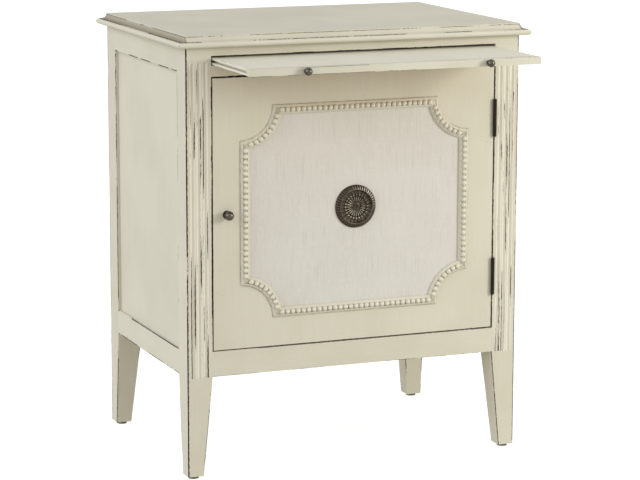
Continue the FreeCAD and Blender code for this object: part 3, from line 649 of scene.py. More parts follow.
@dataclass(frozen=True)
class RubbedLine:
    """How a line of wear looks: half width, how much of it is missing, its way, its waves per metre."""

    width: float
    cut: float
    way: Grain
    along: float = 9.0
    across: float = 60.0

    def mask(self, bench: MaterialBench, gap: Socket, seed: float) -> Socket:
        """Where the line shows, from 0 to 1.

        Args:
            bench: the bench of the material.
            gap: the way to the line.
            seed: a number that gives the piece its own breaks.
        Returns:
            The mask.
        """
        inputs = {"Point": bench.point, "Gap": gap, "Width": self.width, "Cut": self.cut,
                  "Waves": self.way.waves(self.along, self.across), "Seed": seed}
        return bench.group(SharedShaders.rubbed_line, inputs).outputs["Mask"]


@dataclass(frozen=True)
class EdgeBox:
    """The box whose edges are rubbed; a lean moves its faces inwards below a height."""

    low: Point
    high: Point
    lean_low: Point = (0.0, 0.0, 0.0)
    lean_high: Point = (0.0, 0.0, 0.0)
    lean_top: float = 0.0

    def gap(self, bench: MaterialBench) -> Socket:
        """The way from a point to the box's nearest edge."""
        inputs = {"Point": bench.point, "Low": self.low, "High": self.high, "Lean Low": self.lean_low,
                  "Lean High": self.lean_high, "Lean Top": self.lean_top}
        return bench.group(SharedShaders.edge_gap, inputs).outputs["Gap"]


@dataclass(frozen=True)
class Level:
    """A level line all round a piece, at one height."""

    height: float

    def gap(self, bench: MaterialBench) -> Socket:
        """The way from a point up or down to the line."""
        return bench.size(bench.minus(bench.split(bench.point)[2], self.height))


@dataclass(frozen=True)
class Stretch:
    """The part of a line that lies between two heights."""

    line: EdgeBox
    low: float
    high: float

    def gap(self, bench: MaterialBench) -> Socket:
        """The way from a point to the line, longer by how far the point lies beyond its ends.

        Args:
            bench: the bench of the material.
        Returns:
            The way.
        """
        height = bench.split(bench.point)[2]
        past = bench.plus(bench.beyond(self.low, height), bench.beyond(height, self.high))
        return bench.plus(self.line.gap(bench), past)


@dataclass(frozen=True)
class BareRimAndGapShade:
    """The narrow faces all round the door: bare wood, dark as painted shade in the gap round the door."""

    low: Point
    high: Point
    reach: float = 0.4 * MM
    strength: float = 0.95

    def mask(self, bench: MaterialBench) -> Socket:
        """How bare and dark a point is: wholly where it lies on a face across X or Z.

        Args:
            bench: the bench of the material.
        Returns:
            The mask.
        """
        ends = (self.low, self.high)
        gaps = [bench.vector("ABSOLUTE", bench.vector("SUBTRACT", bench.point, end)) for end in ends]
        across, _, height = bench.split(bench.vector("MINIMUM", *gaps))
        gap = bench.least(across, height)
        return bench.ramp(gap, self.reach, 0.5 * self.reach, 0.0, self.strength)

    def mark_tone(self, paint: "CreamPaint") -> Tone:
        """Bare brown wood, dark enough to be painted shade in the door gap."""
        return paint.rim


@dataclass(frozen=True)
class BareUnderside:
    """The underside of the tray, left bare of paint."""

    height: float
    reach: float = 0.3 * MM

    def mask(self, bench: MaterialBench) -> Socket:
        """How bare a point is: wholly where it lies at the lowest height."""
        rise = bench.split(bench.point)[2]
        return bench.ramp(rise, self.height + self.reach, self.height + 0.5 * self.reach)

    def mark_tone(self, paint: "CreamPaint") -> Tone:
        """Bare pale wood."""
        return paint.bare


@dataclass(frozen=True)
class CoveDarkening:
    """The cove round the top made darker, most at its foot, heavy at the ends, light at front and back."""

    foot: float
    head: float
    end: float
    heavy: float = 0.85
    light: float = 0.1
    thinned: float = 0.62
    soft: float = 0.4 * MM
    turn: float = 1.0 * MM

    def mask(self, bench: MaterialBench) -> Socket:
        """How much darker a point is made.

        Args:
            bench: the bench of the material.
        Returns:
            The mask.
        """
        across, _, high = bench.split(bench.point)
        over_foot = bench.ramp(high, self.foot - self.soft, self.foot)
        between = bench.times(over_foot, bench.ramp(high, self.head, self.head - self.soft))
        depth = bench.ramp(high, self.foot, self.head, 1.0, self.thinned)
        at_end = bench.ramp(bench.size(across), self.end - self.turn, self.end, self.light, self.heavy)
        return bench.times(bench.times(between, depth), at_end)

    def mark_tone(self, paint: "CreamPaint") -> Tone:
        """The dark tone that it takes."""
        return paint.soil_and_shade


@dataclass(frozen=True)
class FluteRow:
    """Three stopped flutes on the front of a post."""

    centre: float
    low: float
    high: float
    ragged: float = 0.0
    pitch: float = 11.25 * MM
    radius: float = 3.2 * MM

    def node(self, bench: MaterialBench) -> bpy.types.Node:
        """The node that tells how near a point is to a flute's lip, and how far inside it lies."""
        inputs = {"Point": bench.point, "Centre": self.centre, "Pitch": self.pitch, "Radius": self.radius,
                  "Low": self.low, "High": self.high, "Ragged": self.ragged}
        return bench.group(SharedShaders.flute_gap, inputs)

    def gap(self, bench: MaterialBench) -> Socket:
        """The way from a point to the nearest lip."""
        return self.node(bench).outputs["Gap"]

    def inside(self, bench: MaterialBench) -> Socket:
        """How far inside a flute a point lies, from 0 to 1."""
        return self.node(bench).outputs["Inside"]


Line = EdgeBox | Stretch | Level | FluteRow
StainOrShade = CoveDarkening | BareRimAndGapShade | BareUnderside | None


@dataclass(frozen=True)
class CreamPaint:
    """Old cream paint on dark wood, rubbed through at edges; dirt with painted shade in hollows, painted
    highlights on lips.
    """

    light: Tone = tone(208, 205, 189)
    dark: Tone = tone(195, 191, 172)
    # paler paint, laid on flute lips and pearl crests as a painted highlight
    thick: Tone = tone(230, 227, 215)
    # dark tone for dirt and for painted shade in hollows
    soil_and_shade: Tone = tone(128, 118, 92)
    wood: Tone = tone(32, 24, 15)
    # bare wood round the door, dark as painted shade in the door gap
    rim: Tone = tone(78, 60, 42)
    bare: Tone = tone(202, 160, 98)
    # painted shade, with some dirt, inside the flutes; a painted highlight along their lips
    flute_shade_and_dirt: float = 0.1
    lip_highlight_reach: Pair = (2.6 * MM, 0.4 * MM)
    lip_highlight_share: float = 0.7
    worn_matt: float = 0.25
    brush_depth: float = 0.12 * MM
    carved_depth: float = 0.1 * MM
    # dirt and painted shade in the low parts of carved pieces
    dirt_and_shade_scale: float = 90.0
    dirt_and_shade_ends: Pair = (0.36, 0.58)
    dirt_and_shade_level: Pair = (0.16, 0.02)
    dirt_and_shade_share: float = 0.55
    # painted highlight of paler paint on the crests of carved pieces
    crest_highlight_level: Pair = (0.42, 1.0)
    crest_share: float = 0.5

    def film(self, bench: MaterialBench, grain: Grain, seed: float) -> bpy.types.Node:
        """The unworn paint."""
        inputs = {"Point": bench.point, "Streaks": grain.streaks(), "Light": self.light, "Dark": self.dark,
                  "Speck": self.wood, "Seed": seed}
        return bench.group(SharedShaders.paint_film, inputs)

    def coat(
        self,
        name: str,
        grain: Grain,
        lines: list[tuple[Line, RubbedLine]],
        flutes: FluteRow | None = None,
        stain_or_shade: StainOrShade = None,
        seed: float = 0.0,
    ) -> bpy.types.Material:
        """Paints one piece.

        Args:
            name: the material's name.
            grain: which way the brush went.
            lines: what is rubbed through, and how.
            flutes: hollows darkened by painted shade and some dirt, lips lit by a painted highlight.
            stain_or_shade: a darkened cove, bare wood, or painted shade in the door gap.
            seed: a number that gives the piece its own clouds.
        Returns:
            The material.
        """
        bench = MaterialBench(name)
        film = self.film(bench, grain, seed)
        colour = film.outputs["Color"]
        # painted shade with some dirt inside the flutes, and a painted highlight of paler paint on their lips
        if flutes:
            hollow = bench.times(flutes.inside(bench), self.flute_shade_and_dirt)
            colour = bench.mix(hollow, colour, self.soil_and_shade)
            lip = bench.ramp(flutes.gap(bench), *self.lip_highlight_reach, 0.0, self.lip_highlight_share)
            colour = bench.mix(lip, colour, self.thick)
        # a darker cove, bare wood, or painted shade in the door gap
        if stain_or_shade:
            colour = bench.mix(stain_or_shade.mask(bench), colour, stain_or_shade.mark_tone(self))
        worn = None
        for line, look in lines:
            mask = look.mask(bench, line.gap(bench), seed)
            worn = bench.most(worn, mask) if worn else mask
        height, gloss = film.outputs["Height"], film.outputs["Gloss"]
        if worn:
            colour = bench.mix(worn, colour, self.wood)
            height = bench.minus(height, worn)
            gloss = bench.plus(gloss, bench.times(worn, self.worn_matt))
        return bench.finished({"Base Color": colour, "Roughness": gloss}, height, self.brush_depth)

    def relief(self, name: str, seed: float) -> bpy.types.Material:
        """Paint on a carved piece: dirt and painted shade where its relief is low, a painted highlight on its
        crests.

        Args:
            name: the material's name.
            seed: a number that gives the piece its own clouds.
        Returns:
            The material.
        """
        bench = MaterialBench(name)
        film = self.film(bench, Grain.ALONG_X, seed)
        high = bench.relief()
        # dirt and painted shade where the relief is low, and a painted highlight on the crests
        patches = bench.ramp(bench.noise(bench.point, self.dirt_and_shade_scale, 3.0, seed), *self.dirt_and_shade_ends)
        dirt_and_shade = bench.times(bench.ramp(high, *self.dirt_and_shade_level, 0.0, self.dirt_and_shade_share), patches)
        crest = bench.ramp(high, *self.crest_highlight_level, 0.0, self.crest_share)
        colour = bench.mix(dirt_and_shade, bench.mix(crest, film.outputs["Color"], self.thick), self.soil_and_shade)
        inputs = {"Base Color": colour, "Roughness": film.outputs["Gloss"]}
        return bench.finished(inputs, film.outputs["Height"], self.carved_depth)


@dataclass(frozen=True)
class DarkBronze:
    """Brown-black bronze, lighter where hands and cloths have rubbed it."""

    light: Tone = tone(158, 147, 122)
    dark: Tone = tone(40, 32, 23)
    metallic: float = 0.55
    smooth: float = 0.34
    matt: float = 0.5
    lacquer: float = 0.0
    lacquer_roughness: float = 0.12
    lacquer_ior: float = 1.8
    pit_depth: float = 0.05 * MM

    def coat(self, name: str, raised: bool) -> bpy.types.Material:
        """Makes the finish.

        Args:
            name: the material's name.
            raised: whether the piece's own relief says which parts are rubbed bright.
        Returns:
            The material.
        """
        bench = MaterialBench(name)
        inputs = {"Point": bench.point, "Relief": bench.relief() if raised else None, "Light": self.light,
                  "Dark": self.dark, "Smooth": self.smooth, "Matt": self.matt}
        metal = bench.group(SharedShaders.old_metal, inputs)
        inputs = {
            "Base Color": metal.outputs["Color"], "Roughness": metal.outputs["Roughness"],
            "Metallic": self.metallic, "Coat Weight": self.lacquer,
            "Coat Roughness": self.lacquer_roughness, "Coat IOR": self.lacquer_ior,
        }
        return bench.finished(inputs, metal.outputs["Height"], self.pit_depth)


@dataclass(frozen=True)
class BareWood:
    """Unpainted wood inside the cabinet."""

    light: Tone = tone(196, 160, 112)
    dark: Tone = tone(150, 112, 70)
    roughness: float = 0.68
    grain_depth: float = 0.15 * MM

    def coat(self, name: str, grain: Grain) -> bpy.types.Material:
        """Makes the finish.

        Args:
            name: the material's name.
            grain: which way the grain runs.
        Returns:
            The material.
        """
        bench = MaterialBench(name)
        inputs = {"Point": bench.point, "Streaks": grain.streaks(), "Light": self.light, "Dark": self.dark}
        wood = bench.group(SharedShaders.wood_grain, inputs)
        inputs = {"Base Color": wood.outputs["Color"], "Roughness": self.roughness}
        return bench.finished(inputs, wood.outputs["Height"], self.grain_depth)


@dataclass(frozen=True)
class Mottled:
    """A small hard part of one stuff, such as steel or plastic, with faint clouds and a fine skin."""

    light: Tone
    dark: Tone
    metallic: float
    roughness: float
    uneven: float = 0.06
    cloud_scale: float = 120.0
    skin_scale: float = 1800.0
    skin_depth: float = 0.04 * MM

    def coat(self, name: str) -> bpy.types.Material:
        """Makes the finish.

        Args:
            name: the material's name.
        Returns:
            The material.
        """
        bench = MaterialBench(name)
        cloud = bench.ramp(bench.noise(bench.point, self.cloud_scale, 4.0), *CLOUD_ENDS)
        smooth, matt = self.roughness - self.uneven, self.roughness + self.uneven
        inputs = {
            "Base Color": bench.mix(cloud, self.light, self.dark),
            "Roughness": bench.ramp(cloud, 0.0, 1.0, smooth, matt),
            "Metallic": self.metallic,
        }
        return bench.finished(inputs, bench.noise(bench.point, self.skin_scale, 2.0), self.skin_depth)


@dataclass(frozen=True)
class Linen:
    """Pale linen with visible slubs, laid on the piece's own flat coordinates."""

    light: Tone = tone(211, 209, 203)
    dark: Tone = tone(187, 182, 172)
    pitch: float = 0.9 * MM
    roughness: float = 0.9
    thread_depth: float = 0.12 * MM

    def coat(self, name: str) -> bpy.types.Material:
        """Makes the finish.

        Args:
            name: the material's name.
        Returns:
            The material.
        """
        bench = MaterialBench(name)
        flat = bench.add("ShaderNodeUVMap", {}, uv_map="flat").outputs["UV"]
        inputs = {"Flat": flat, "Pitch": self.pitch, "Light": self.light, "Dark": self.dark}
        weave = bench.group(SharedShaders.linen_weave, inputs)
        inputs = {"Base Color": weave.outputs["Color"], "Roughness": self.roughness}
        return bench.finished(inputs, weave.outputs["Height"], self.thread_depth)


def settle(
    piece: bpy.types.Object, material: bpy.types.Material, body: str, slot: str, *nodes: str
) -> None:
    """Gives a new piece its finish and its place in the assembly.

    Args:
        piece: the new piece.
        material: its finish.
        body: the body that it moves with.
        slot: not used.
        nodes: the frame's nodes that it stands for.
    """
    piece.data.materials.append(material)
    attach(piece, body)
    if nodes:
        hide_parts(*nodes)
    LOG.info("%s: %d faces on %s", piece.name, len(piece.data.polygons), body)


@dataclass
class PearlFrame:
    """The moulding round the linen: a row of pearls between two swelling bands, with hollow corners."""

    paint: CreamPaint
    half_width: float = PANEL_HALF[0]
    half_height: float = PANEL_HALF[1]
    middle: float = PANEL_MIDDLE
    bed: float = PANEL_FACE
    notch: float = PANEL_NOTCH
    width: float = 17.0 * MM
    mitre: float = 0.8867
    floor: float = 4.4 * MM
    brow: float = 5.0 * MM
    outer: Pair = (4.4 * MM, 2.6 * MM)
    inner: Pair = (4.4 * MM, 2.2 * MM)
    pearl: Point = (4.6 * MM, 4.6 * MM, 5.2 * MM)
    band_relief: float = 0.4
    crest_share: float = 0.7
    rings: tuple[float, ...] = (-12.0, 14.0, 40.0, 66.0, 83.0)
    around: int = 10
    line: float = 8.8 * MM
    pitch: float = 9.8 * MM
    across_count: int = 29
    upright_count: int = 23
    corner_count: int = 8
    band_points: int = 7
    corner_stops: int = 21
    seed_step: float = 3.1
    corner_seed: float = 17.0

    def profile(self) -> tuple[np.ndarray, np.ndarray]:
        """The moulding's section.

        Each band stands on a short upright edge and swells in a quarter wave, e + (b - e) sin(90 t),
        up to its brow, with the flat floor of the pearls between the two brows.

        Returns:
            The points, as way in from the outer edge and height, from the inner foot to the outer
            foot; and how high each stands in the relief, which falls to nothing on the floor of the
            pearls and at the outer edge.
        """
        share = np.linspace(0.0, 1.0, self.band_points)
        swell = np.sin(share * math.pi / 2)
        inner_wide, inner_edge = self.inner
        outer_wide, outer_edge = self.outer
        inner_rise = inner_edge + (self.brow - inner_edge) * swell
        outer_rise = outer_edge + (self.brow - outer_edge) * swell
        inner = np.stack([self.width - inner_wide * share, inner_rise], axis=-1)
        outer = np.stack([outer_wide * share, outer_rise], axis=-1)[::-1]
        floor = np.array([[self.width - inner_wide, self.floor], [outer_wide, self.floor]])
        section = np.concatenate([[[self.width, 0.0]], inner, floor, outer, [[0.0, 0.0]]])
        clean = np.full(len(share) + 1, self.band_relief)
        relief = np.concatenate([clean, [0.0, 0.0], self.band_relief * share[::-1], [0.0]])
        return section, relief

    def straight(self, half_side: float) -> Surface:
        """A length with mitred ends: (t (a - s d), d, h) for t from -1 to 1 over the section's d and h.

        Args:
            half_side: half the length of the frame's side, corners and all.
        Returns:
            The closed surface.
        """
        section, relief = self.profile()
        inward, height = section.T
        reach = half_side - self.notch - self.mitre * inward
        share = np.linspace(-1.0, 1.0, 3)[:, None]
        stations = np.stack(np.broadcast_arrays(share * reach, inward, height), axis=-1)
        return Surface.swept(stations, relief)

    def hollow(self) -> Surface:
        """A corner length: the section carried round the corner, (r cos a, r sin a, h), r = notch + d.

        It starts and ends on the mitre lines x = notch + s y and its mirror image, so the first angle
        comes from where that line meets the circle of radius r.

        Returns:
            The closed surface.
        """
        section, relief = self.profile()
        inward, height = section.T
        radius = self.notch + inward
        slope = self.mitre
        offset = self.notch * slope
        side = np.sqrt(offset ** 2 + (1 + slope ** 2) * (radius ** 2 - self.notch ** 2))
        meet = (side - offset) / (1 + slope ** 2)
        first = np.arctan2(meet, self.notch + slope * meet)
        share = np.linspace(1.0, -1.0, self.corner_stops)[:, None]
        angle = math.pi / 4 + share * (math.pi / 4 - first)
        x, y = radius * np.cos(angle), radius * np.sin(angle)
        return Surface.swept(np.stack(np.broadcast_arrays(x, y, height), axis=-1), relief)

    def pearls(self, centres: np.ndarray) -> list[Surface]:
        """Balls sunk a little in the floor: (c + R cos p cos a, c + S cos p sin a, floor + H sin p).

        Args:
            centres: where each pearl stands on the bead floor.
        Returns:
            One closed surface for each.
        """
        along, across, rise = self.pearl
        tilt = np.radians(np.array(self.rings))
        outline = np.stack([along * np.cos(tilt), self.floor + rise * np.sin(tilt)], axis=-1)
        ball = lathe(outline, self.around)
        ball.points[:, 1] *= across / along
        relief = np.clip((ball.points[:, 2] - self.floor) / (self.crest_share * rise), 0.0, 1.0)
        shift = np.concatenate([centres, np.zeros((len(centres), 1))], axis=-1)
        return [Surface(ball.points + move, ball.faces, relief) for move in shift]

    def straight_centres(self, count: int) -> np.ndarray:
        """Evenly spaced along a length, about its middle."""
        along = (np.arange(count) - (count - 1) / 2) * self.pitch
        return np.stack([along, np.full(count, self.line)], axis=-1)

    def corner_centres(self) -> np.ndarray:
        """Evenly spaced round a corner, about its middle.

        Returns:
            One line of two numbers for each pearl.
        """
        radius = self.notch + self.line
        steps = np.arange(self.corner_count) - (self.corner_count - 1) / 2
        angle = math.pi / 4 + steps * self.pitch / radius
        return np.stack([radius * np.cos(angle), radius * np.sin(angle)], axis=-1)

    def build(self) -> None:
        """Makes the four lengths and the four corners, paints them and hangs them on the door."""
        low, high = self.middle - self.half_height, self.middle + self.half_height
        wide, tall = self.half_width, self.half_height
        lengths = {
            "bottom_moulding": (wide, self.across_count, 0.0, low, 0.0),
            "right_moulding": (tall, self.upright_count, wide, self.middle, 90.0),
            "top_moulding": (wide, self.across_count, 0.0, high, 180.0),
            "left_moulding": (tall, self.upright_count, -wide, self.middle, 270.0),
        }
        for index, (node, (half_side, count, x, z, turn)) in enumerate(lengths.items()):
            parts = [self.straight(half_side), *self.pearls(self.straight_centres(count))]
            whole = Surface.joined(parts).facing_front(x, self.bed, z, math.radians(turn))
            carved_paint = self.paint.relief(f"paint_pearl_{node}", index * self.seed_step)
            settle(whole.piece(f"pearl_{node}"), carved_paint, "door", "painted_wood", node)
        corner = Surface.joined([self.hollow(), *self.pearls(self.corner_centres())])
        places = ((-wide, low, 0.0), (wide, low, 90.0), (wide, high, 180.0), (-wide, high, 270.0))
        turned = [corner.facing_front(x, self.bed, z, math.radians(turn)) for x, z, turn in places]
        piece = Surface.joined(turned).piece("pearl_corner_mouldings")
        carved_paint = self.paint.relief("paint_pearl_corners", self.corner_seed)
        settle(piece, carved_paint, "door", "painted_wood", "corner_mouldings")


@dataclass
class Rosette:
    """The round medallion: a gadrooned rim that slopes up to a crest, and a rosette in its dish."""

    bronze: DarkBronze
    middle: float = PANEL_MIDDLE
    bed: float = PANEL_FACE
    radius: float = 37.4 * MM
    wall: float = 1.4 * MM
    crest: Pair = (29.8 * MM, 7.0 * MM)
    dish: Pair = (26.4 * MM, 3.0 * MM)
    bead_line: float = 20.4 * MM
    bead: float = 2.2 * MM
    petal_end: float = 18.0 * MM
    petal_rise: float = 2.0 * MM
    button: float = 7.3 * MM
    button_height: float = 6.0 * MM
    gadroons: int = 48
    gadroon_depth: float = 1.3 * MM
    # the side the painted light comes from: a painted highlight on the rim there, painted light on the dish's
    # far side
    painted_light_side: float = math.radians(48.0)
    rim_rub_and_painted_light: Pair = (0.1, 0.7)
    petal_rub: Pair = (0.24, 0.5)
    bead_rub: float = 0.75
    flower_rub_and_painted_light: Pair = (0.9, 0.4)
    crest_rub: float = 0.16
    crest_reach: float = 0.9 * MM
    scallop_rub: Pair = (0.055, 0.045)
    button_rub: float = 0.04
    petals: int = 24
    span_rings: tuple[int, ...] = (16, 8, 24, 14)
    button_rings: tuple[float, float, int] = (0.985, 0.4 * MM, 12)
    around: int = 480
    crease: float = 70.0

    def rim(self, radius: np.ndarray, angle: np.ndarray) -> tuple[np.ndarray, np.ndarray]:
        """The outer slope: a quarter wave up from the wall to the crest, cut by |sin| grooves.

        Args:
            radius: how far each point is from the middle.
            angle: the way round to it.
        Returns:
            The height of each point, and how much it is rubbed bright, with a painted highlight on the upper
            right.
        """
        crest_radius, crest_height = self.crest
        climb = np.clip((self.radius - radius) / (self.radius - crest_radius), 0.0, 1.0)
        lobe_bend, swell_bend, slope_bend, side_bend, shine_bend = 0.7, 0.6, 0.85, 3, 5
        lobe = np.abs(np.sin(angle * self.gadroons / 2)) ** lobe_bend
        swell = np.sin(np.pi * climb) ** swell_bend
        height = self.wall + (crest_height - self.wall) * np.sin(climb * np.pi / 2) ** slope_bend
        least, more = self.rim_rub_and_painted_light
        # rubbed all round, plus a painted highlight on the upper right side
        rubbed = least + more * np.clip(np.cos(angle - self.painted_light_side), 0.0, 1.0) ** side_bend
        return height - self.gadroon_depth * (1 - lobe) * swell, rubbed * lobe ** shine_bend * swell

    def floor(self, radius: np.ndarray) -> np.ndarray:
        """The dish: it falls from the crest in half a cosine wave, then lies flat."""
        fall = np.clip((self.crest[0] - radius) / (self.crest[0] - self.dish[0]), 0.0, 1.0)
        return self.dish[1] + (self.crest[1] - self.dish[1]) * 0.5 * (1 + np.cos(np.pi * fall))

    def flower(self, radius: np.ndarray, angle: np.ndarray) -> tuple[np.ndarray, np.ndarray]:
        """The rosette: |cos| ridges for the petals, a half ball at each tip, a low dome in the middle.

        Args:
            radius: how far each point is from the middle.
            angle: the way round to it.
        Returns:
            How far each point rises from the dish, and how much it is rubbed bright, with painted light on
            the lower left.
        """
        ridge = np.abs(np.cos(angle * self.petals / 2))
        out = np.clip((radius - self.button) / (self.petal_end - self.button), 0.0, 1.0)
        valley, leaf_bend, tip_fall, shine_bend, ball_rise = 0.2, 1.3, 0.25, 7, 1.3
        leaf = self.petal_rise * (valley + (1 - valley) * ridge ** leaf_bend) * (1 - tip_fall * out ** 2)
        height = np.where(radius < self.petal_end, leaf, 0.0)
        least, more = self.petal_rub
        shine = ridge ** shine_bend * (least + more * np.sin(np.pi * out))
        bright = np.where(radius < self.petal_end, shine, 0.0)
        aside = np.arccos(np.clip(np.cos(angle * self.petals), -1.0, 1.0)) / self.petals
        beside = aside * self.bead_line
        far = np.hypot(beside, radius - self.bead_line) / self.bead
        ball = ball_rise * self.bead * np.sqrt(np.clip(1 - far ** 2, 0.0, 1.0))
        bright = np.where(far < 1.0, np.maximum(bright, self.bead_rub * (1 - far)), bright)
        height = np.maximum(height, ball)
        middling, swing = self.flower_rub_and_painted_light
        # painted light: the flower brighter on the lower left, darker on the upper right
        bright *= middling - swing * np.cos(angle - self.painted_light_side)
        share = radius / self.button
        dimple_depth, dimple_waves, dome_fall = 0.5 * MM, 2.5, 1.2 * MM
        dimple = dimple_depth * np.exp(-(share * dimple_waves) ** 2)
        dome = self.button_height - self.dish[1] - dome_fall * share ** 3 - dimple
        inside = radius < self.button
        return np.where(inside, dome, height), np.where(inside, self.button_rub * share, bright)

    def heights(self, radius: np.ndarray, angle: np.ndarray) -> tuple[np.ndarray, np.ndarray]:
        """The whole relief: the rim outside the crest, and inside it the dish with the flower.

        Args:
            radius: how far each point is from the middle.
            angle: the way round to it.
        Returns:
            The height of each point, and how much it is rubbed bright, painted light included.
        """
        slope, slope_rubbed_and_lit = self.rim(radius, angle)
        flower, flower_rubbed_and_lit = self.flower(radius, angle)
        outside = radius >= self.crest[0]
        crest_bright = self.crest_rub * np.exp(-((radius - self.crest[0]) / self.crest_reach) ** 2)
        middling, swing = self.scallop_rub
        waves = middling + swing * np.cos(angle * self.petals)
        scallops = np.where(radius > self.bead_line, waves, 0.0)
        bright = np.where(outside, slope_rubbed_and_lit, np.maximum(flower_rubbed_and_lit, scallops))
        return np.where(outside, slope, self.floor(radius) + flower), np.maximum(bright, crest_bright)

    def build(self) -> None:
        """Makes the disc on a polar grid, (r cos a, r sin a, h(r, a)), and fixes it to the door."""
        marks = (self.radius, self.crest[0], self.dish[0], self.petal_end, self.button)
        spans = zip(marks, marks[1:], self.span_rings)
        stops = [np.linspace(start, end, count)[1:] for start, end, count in spans]
        inside, hole, rings_inside = self.button_rings
        stops.append(np.linspace(self.button * inside, hole, rings_inside))
        radius, turn = polar(np.concatenate([[self.radius], *stops]), self.around)
        height, bright = self.heights(radius, turn)
        rings = np.stack([radius * np.cos(turn), radius * np.sin(turn), height], axis=-1)
        foot = rings[:1].copy()
        foot[..., 2] = 0.0
        # the relief attribute carries the rub and the painted light, which the bronze shows as brightness
        rubbed = np.concatenate([np.zeros_like(bright[:1]), bright])
        whole = Surface.turned(np.concatenate([foot, rings]), rubbed)
        piece = whole.facing_front(0.0, self.bed, self.middle).piece("rosette", self.crease)
        settle(piece, self.bronze.coat("bronze_rosette", True), "door", "dark_bronze", "medallion")


@dataclass
class Knob:
    """A ball knob on a waisted neck and a small rose."""

    radius: float
    centre: float
    rose: Pair
    neck: float
    rose_edge: float = 0.6
    waist: float = 0.5 * MM
    tip: float = 84.0
    rings: tuple[int, int, int] = (5, 7, 22)
    shine: Point = (0.55, 0.8, 0.32)
    around: int = 40

    def profile(self) -> np.ndarray:
        """The turned outline: a rounded rose, a hollow half-ellipse for the waist, and a ball.

        Returns:
            Radius and height of each point, from the rose's foot to the tip.
        """
        rose_radius, rose_height = self.rose
        edge = rose_height * self.rose_edge
        rose_rings, waist_rings, ball_rings = self.rings
        rose = arc((rose_radius - edge, rose_height - edge), (edge, edge), 0, 90, rose_rings)
        start = math.degrees(math.asin(self.neck / self.radius)) - 90.0
        waist_high = self.centre - self.radius * math.cos(math.radians(90.0 + start))
        middle = (self.neck + self.waist, (rose_height + waist_high) / 2)
        waist = arc(middle, (self.waist, (waist_high - rose_height) / 2), 270, 90, waist_rings)
        ball = arc((0.0, self.centre), (self.radius, self.radius), start, self.tip, ball_rings)
        return np.concatenate([[[rose_radius, 0.0]], rose, waist[1:-1], ball])

    def surface(self) -> Surface:
        """The knob turned about its height, rubbed bright towards its tip.

        Returns:
            The closed surface.
        """
        turned = lathe(self.profile(), self.around)
        up = turned.points[:, 2] / (self.centre + self.radius)
        start, gain, brightest = self.shine
        bright = np.clip((up - start) * gain, 0.0, brightest)
        return Surface(turned.points, turned.faces, bright)


@dataclass
class Knobs:
    """The knob of the door and the two of the tray."""

    bronze: DarkBronze
    door: Knob
    tray: Knob
    door_place: Point = (-236.2 * MM, -125.65 * MM, PANEL_MIDDLE)
    tray_spread: float = 163.5 * MM
    tray_place: Pair = (-305.65 * MM, 717.5 * MM)
    crease: float = 50.0

    def build(self) -> None:
        """Turns the three knobs, and fixes one on the door and two on the tray's front."""
        piece = self.door.surface().facing_front(*self.door_place).piece("turned_door_knob", self.crease)
        settle(piece, self.bronze.coat("bronze_door_knob", True), "door", "dark_bronze", "door_knob")
        y, z = self.tray_place
        both = [self.tray.surface().facing_front(side * self.tray_spread, y, z) for side in (-1, 1)]
        piece = Surface.joined(both).piece("turned_tray_knobs", self.crease)
        settle(piece, self.bronze.coat("bronze_tray_knobs", True), "tray", "dark_bronze", "tray_knobs")


@dataclass
class LinenPanel:
    """The linen stretched over the door's panel board, cut with hollow corners."""

    linen: Linen
    half_width: float = PANEL_HALF[0]
    half_height: float = PANEL_HALF[1]
    notch: float = PANEL_NOTCH
    middle: float = PANEL_MIDDLE
    front: float = PANEL_FACE
    thickness: float = 0.8 * MM
    ripple: float = 0.12 * MM
    ripple_waves: Point = (61.0, 37.0, 53.0)
    ripple_sway: float = 2.0
    rows: int = 121
    columns: int = 97

    def build(self) -> None:
        """Makes the cloth: (u w(z), y, z), w(z) the half width there, with a faint ripple along y."""
        share = np.linspace(-1.0, 1.0, self.rows)
        height = self.half_height * np.sin(share * math.pi / 2)
        into = np.clip(self.half_height - np.abs(height), 0.0, self.notch)
        half = self.half_width - np.sqrt(self.notch ** 2 - into ** 2)
        across = np.linspace(-1.0, 1.0, self.columns) * half[:, None]
        up = np.broadcast_to(height[:, None], across.shape)
        wide, sway, tall = self.ripple_waves
        wave = np.sin(across * wide + self.ripple_sway * np.sin(up * sway)) * np.sin(up * tall)
        wave = self.ripple * 0.5 * (1 + wave)
        points = np.stack([across, self.front + wave, self.middle + up], axis=-1).reshape(-1, 3)
        mesh = bpy.data.meshes.new("stretched_linen")
        mesh.from_pydata(points.tolist(), [], grid_quads(self.rows, self.columns).tolist())
        corner = np.zeros(len(mesh.loops), dtype=np.int32)
        mesh.loops.foreach_get("vertex_index", corner)
        flat = mesh.uv_layers.new(name="flat")
        flat.data.foreach_set("uv", points[corner][:, [0, 2]].astype(np.float32).ravel())
        mesh.polygons.foreach_set("use_smooth", np.ones(len(mesh.polygons), dtype=bool))
        piece = shown("stretched_linen", mesh)
        thick = piece.modifiers.new("cloth_thickness", "SOLIDIFY")
        thick.thickness = self.thickness
        thick.offset = -1.0
        settle(piece, self.linen.coat("linen_cloth"), "door", "linen", "linen_cover")


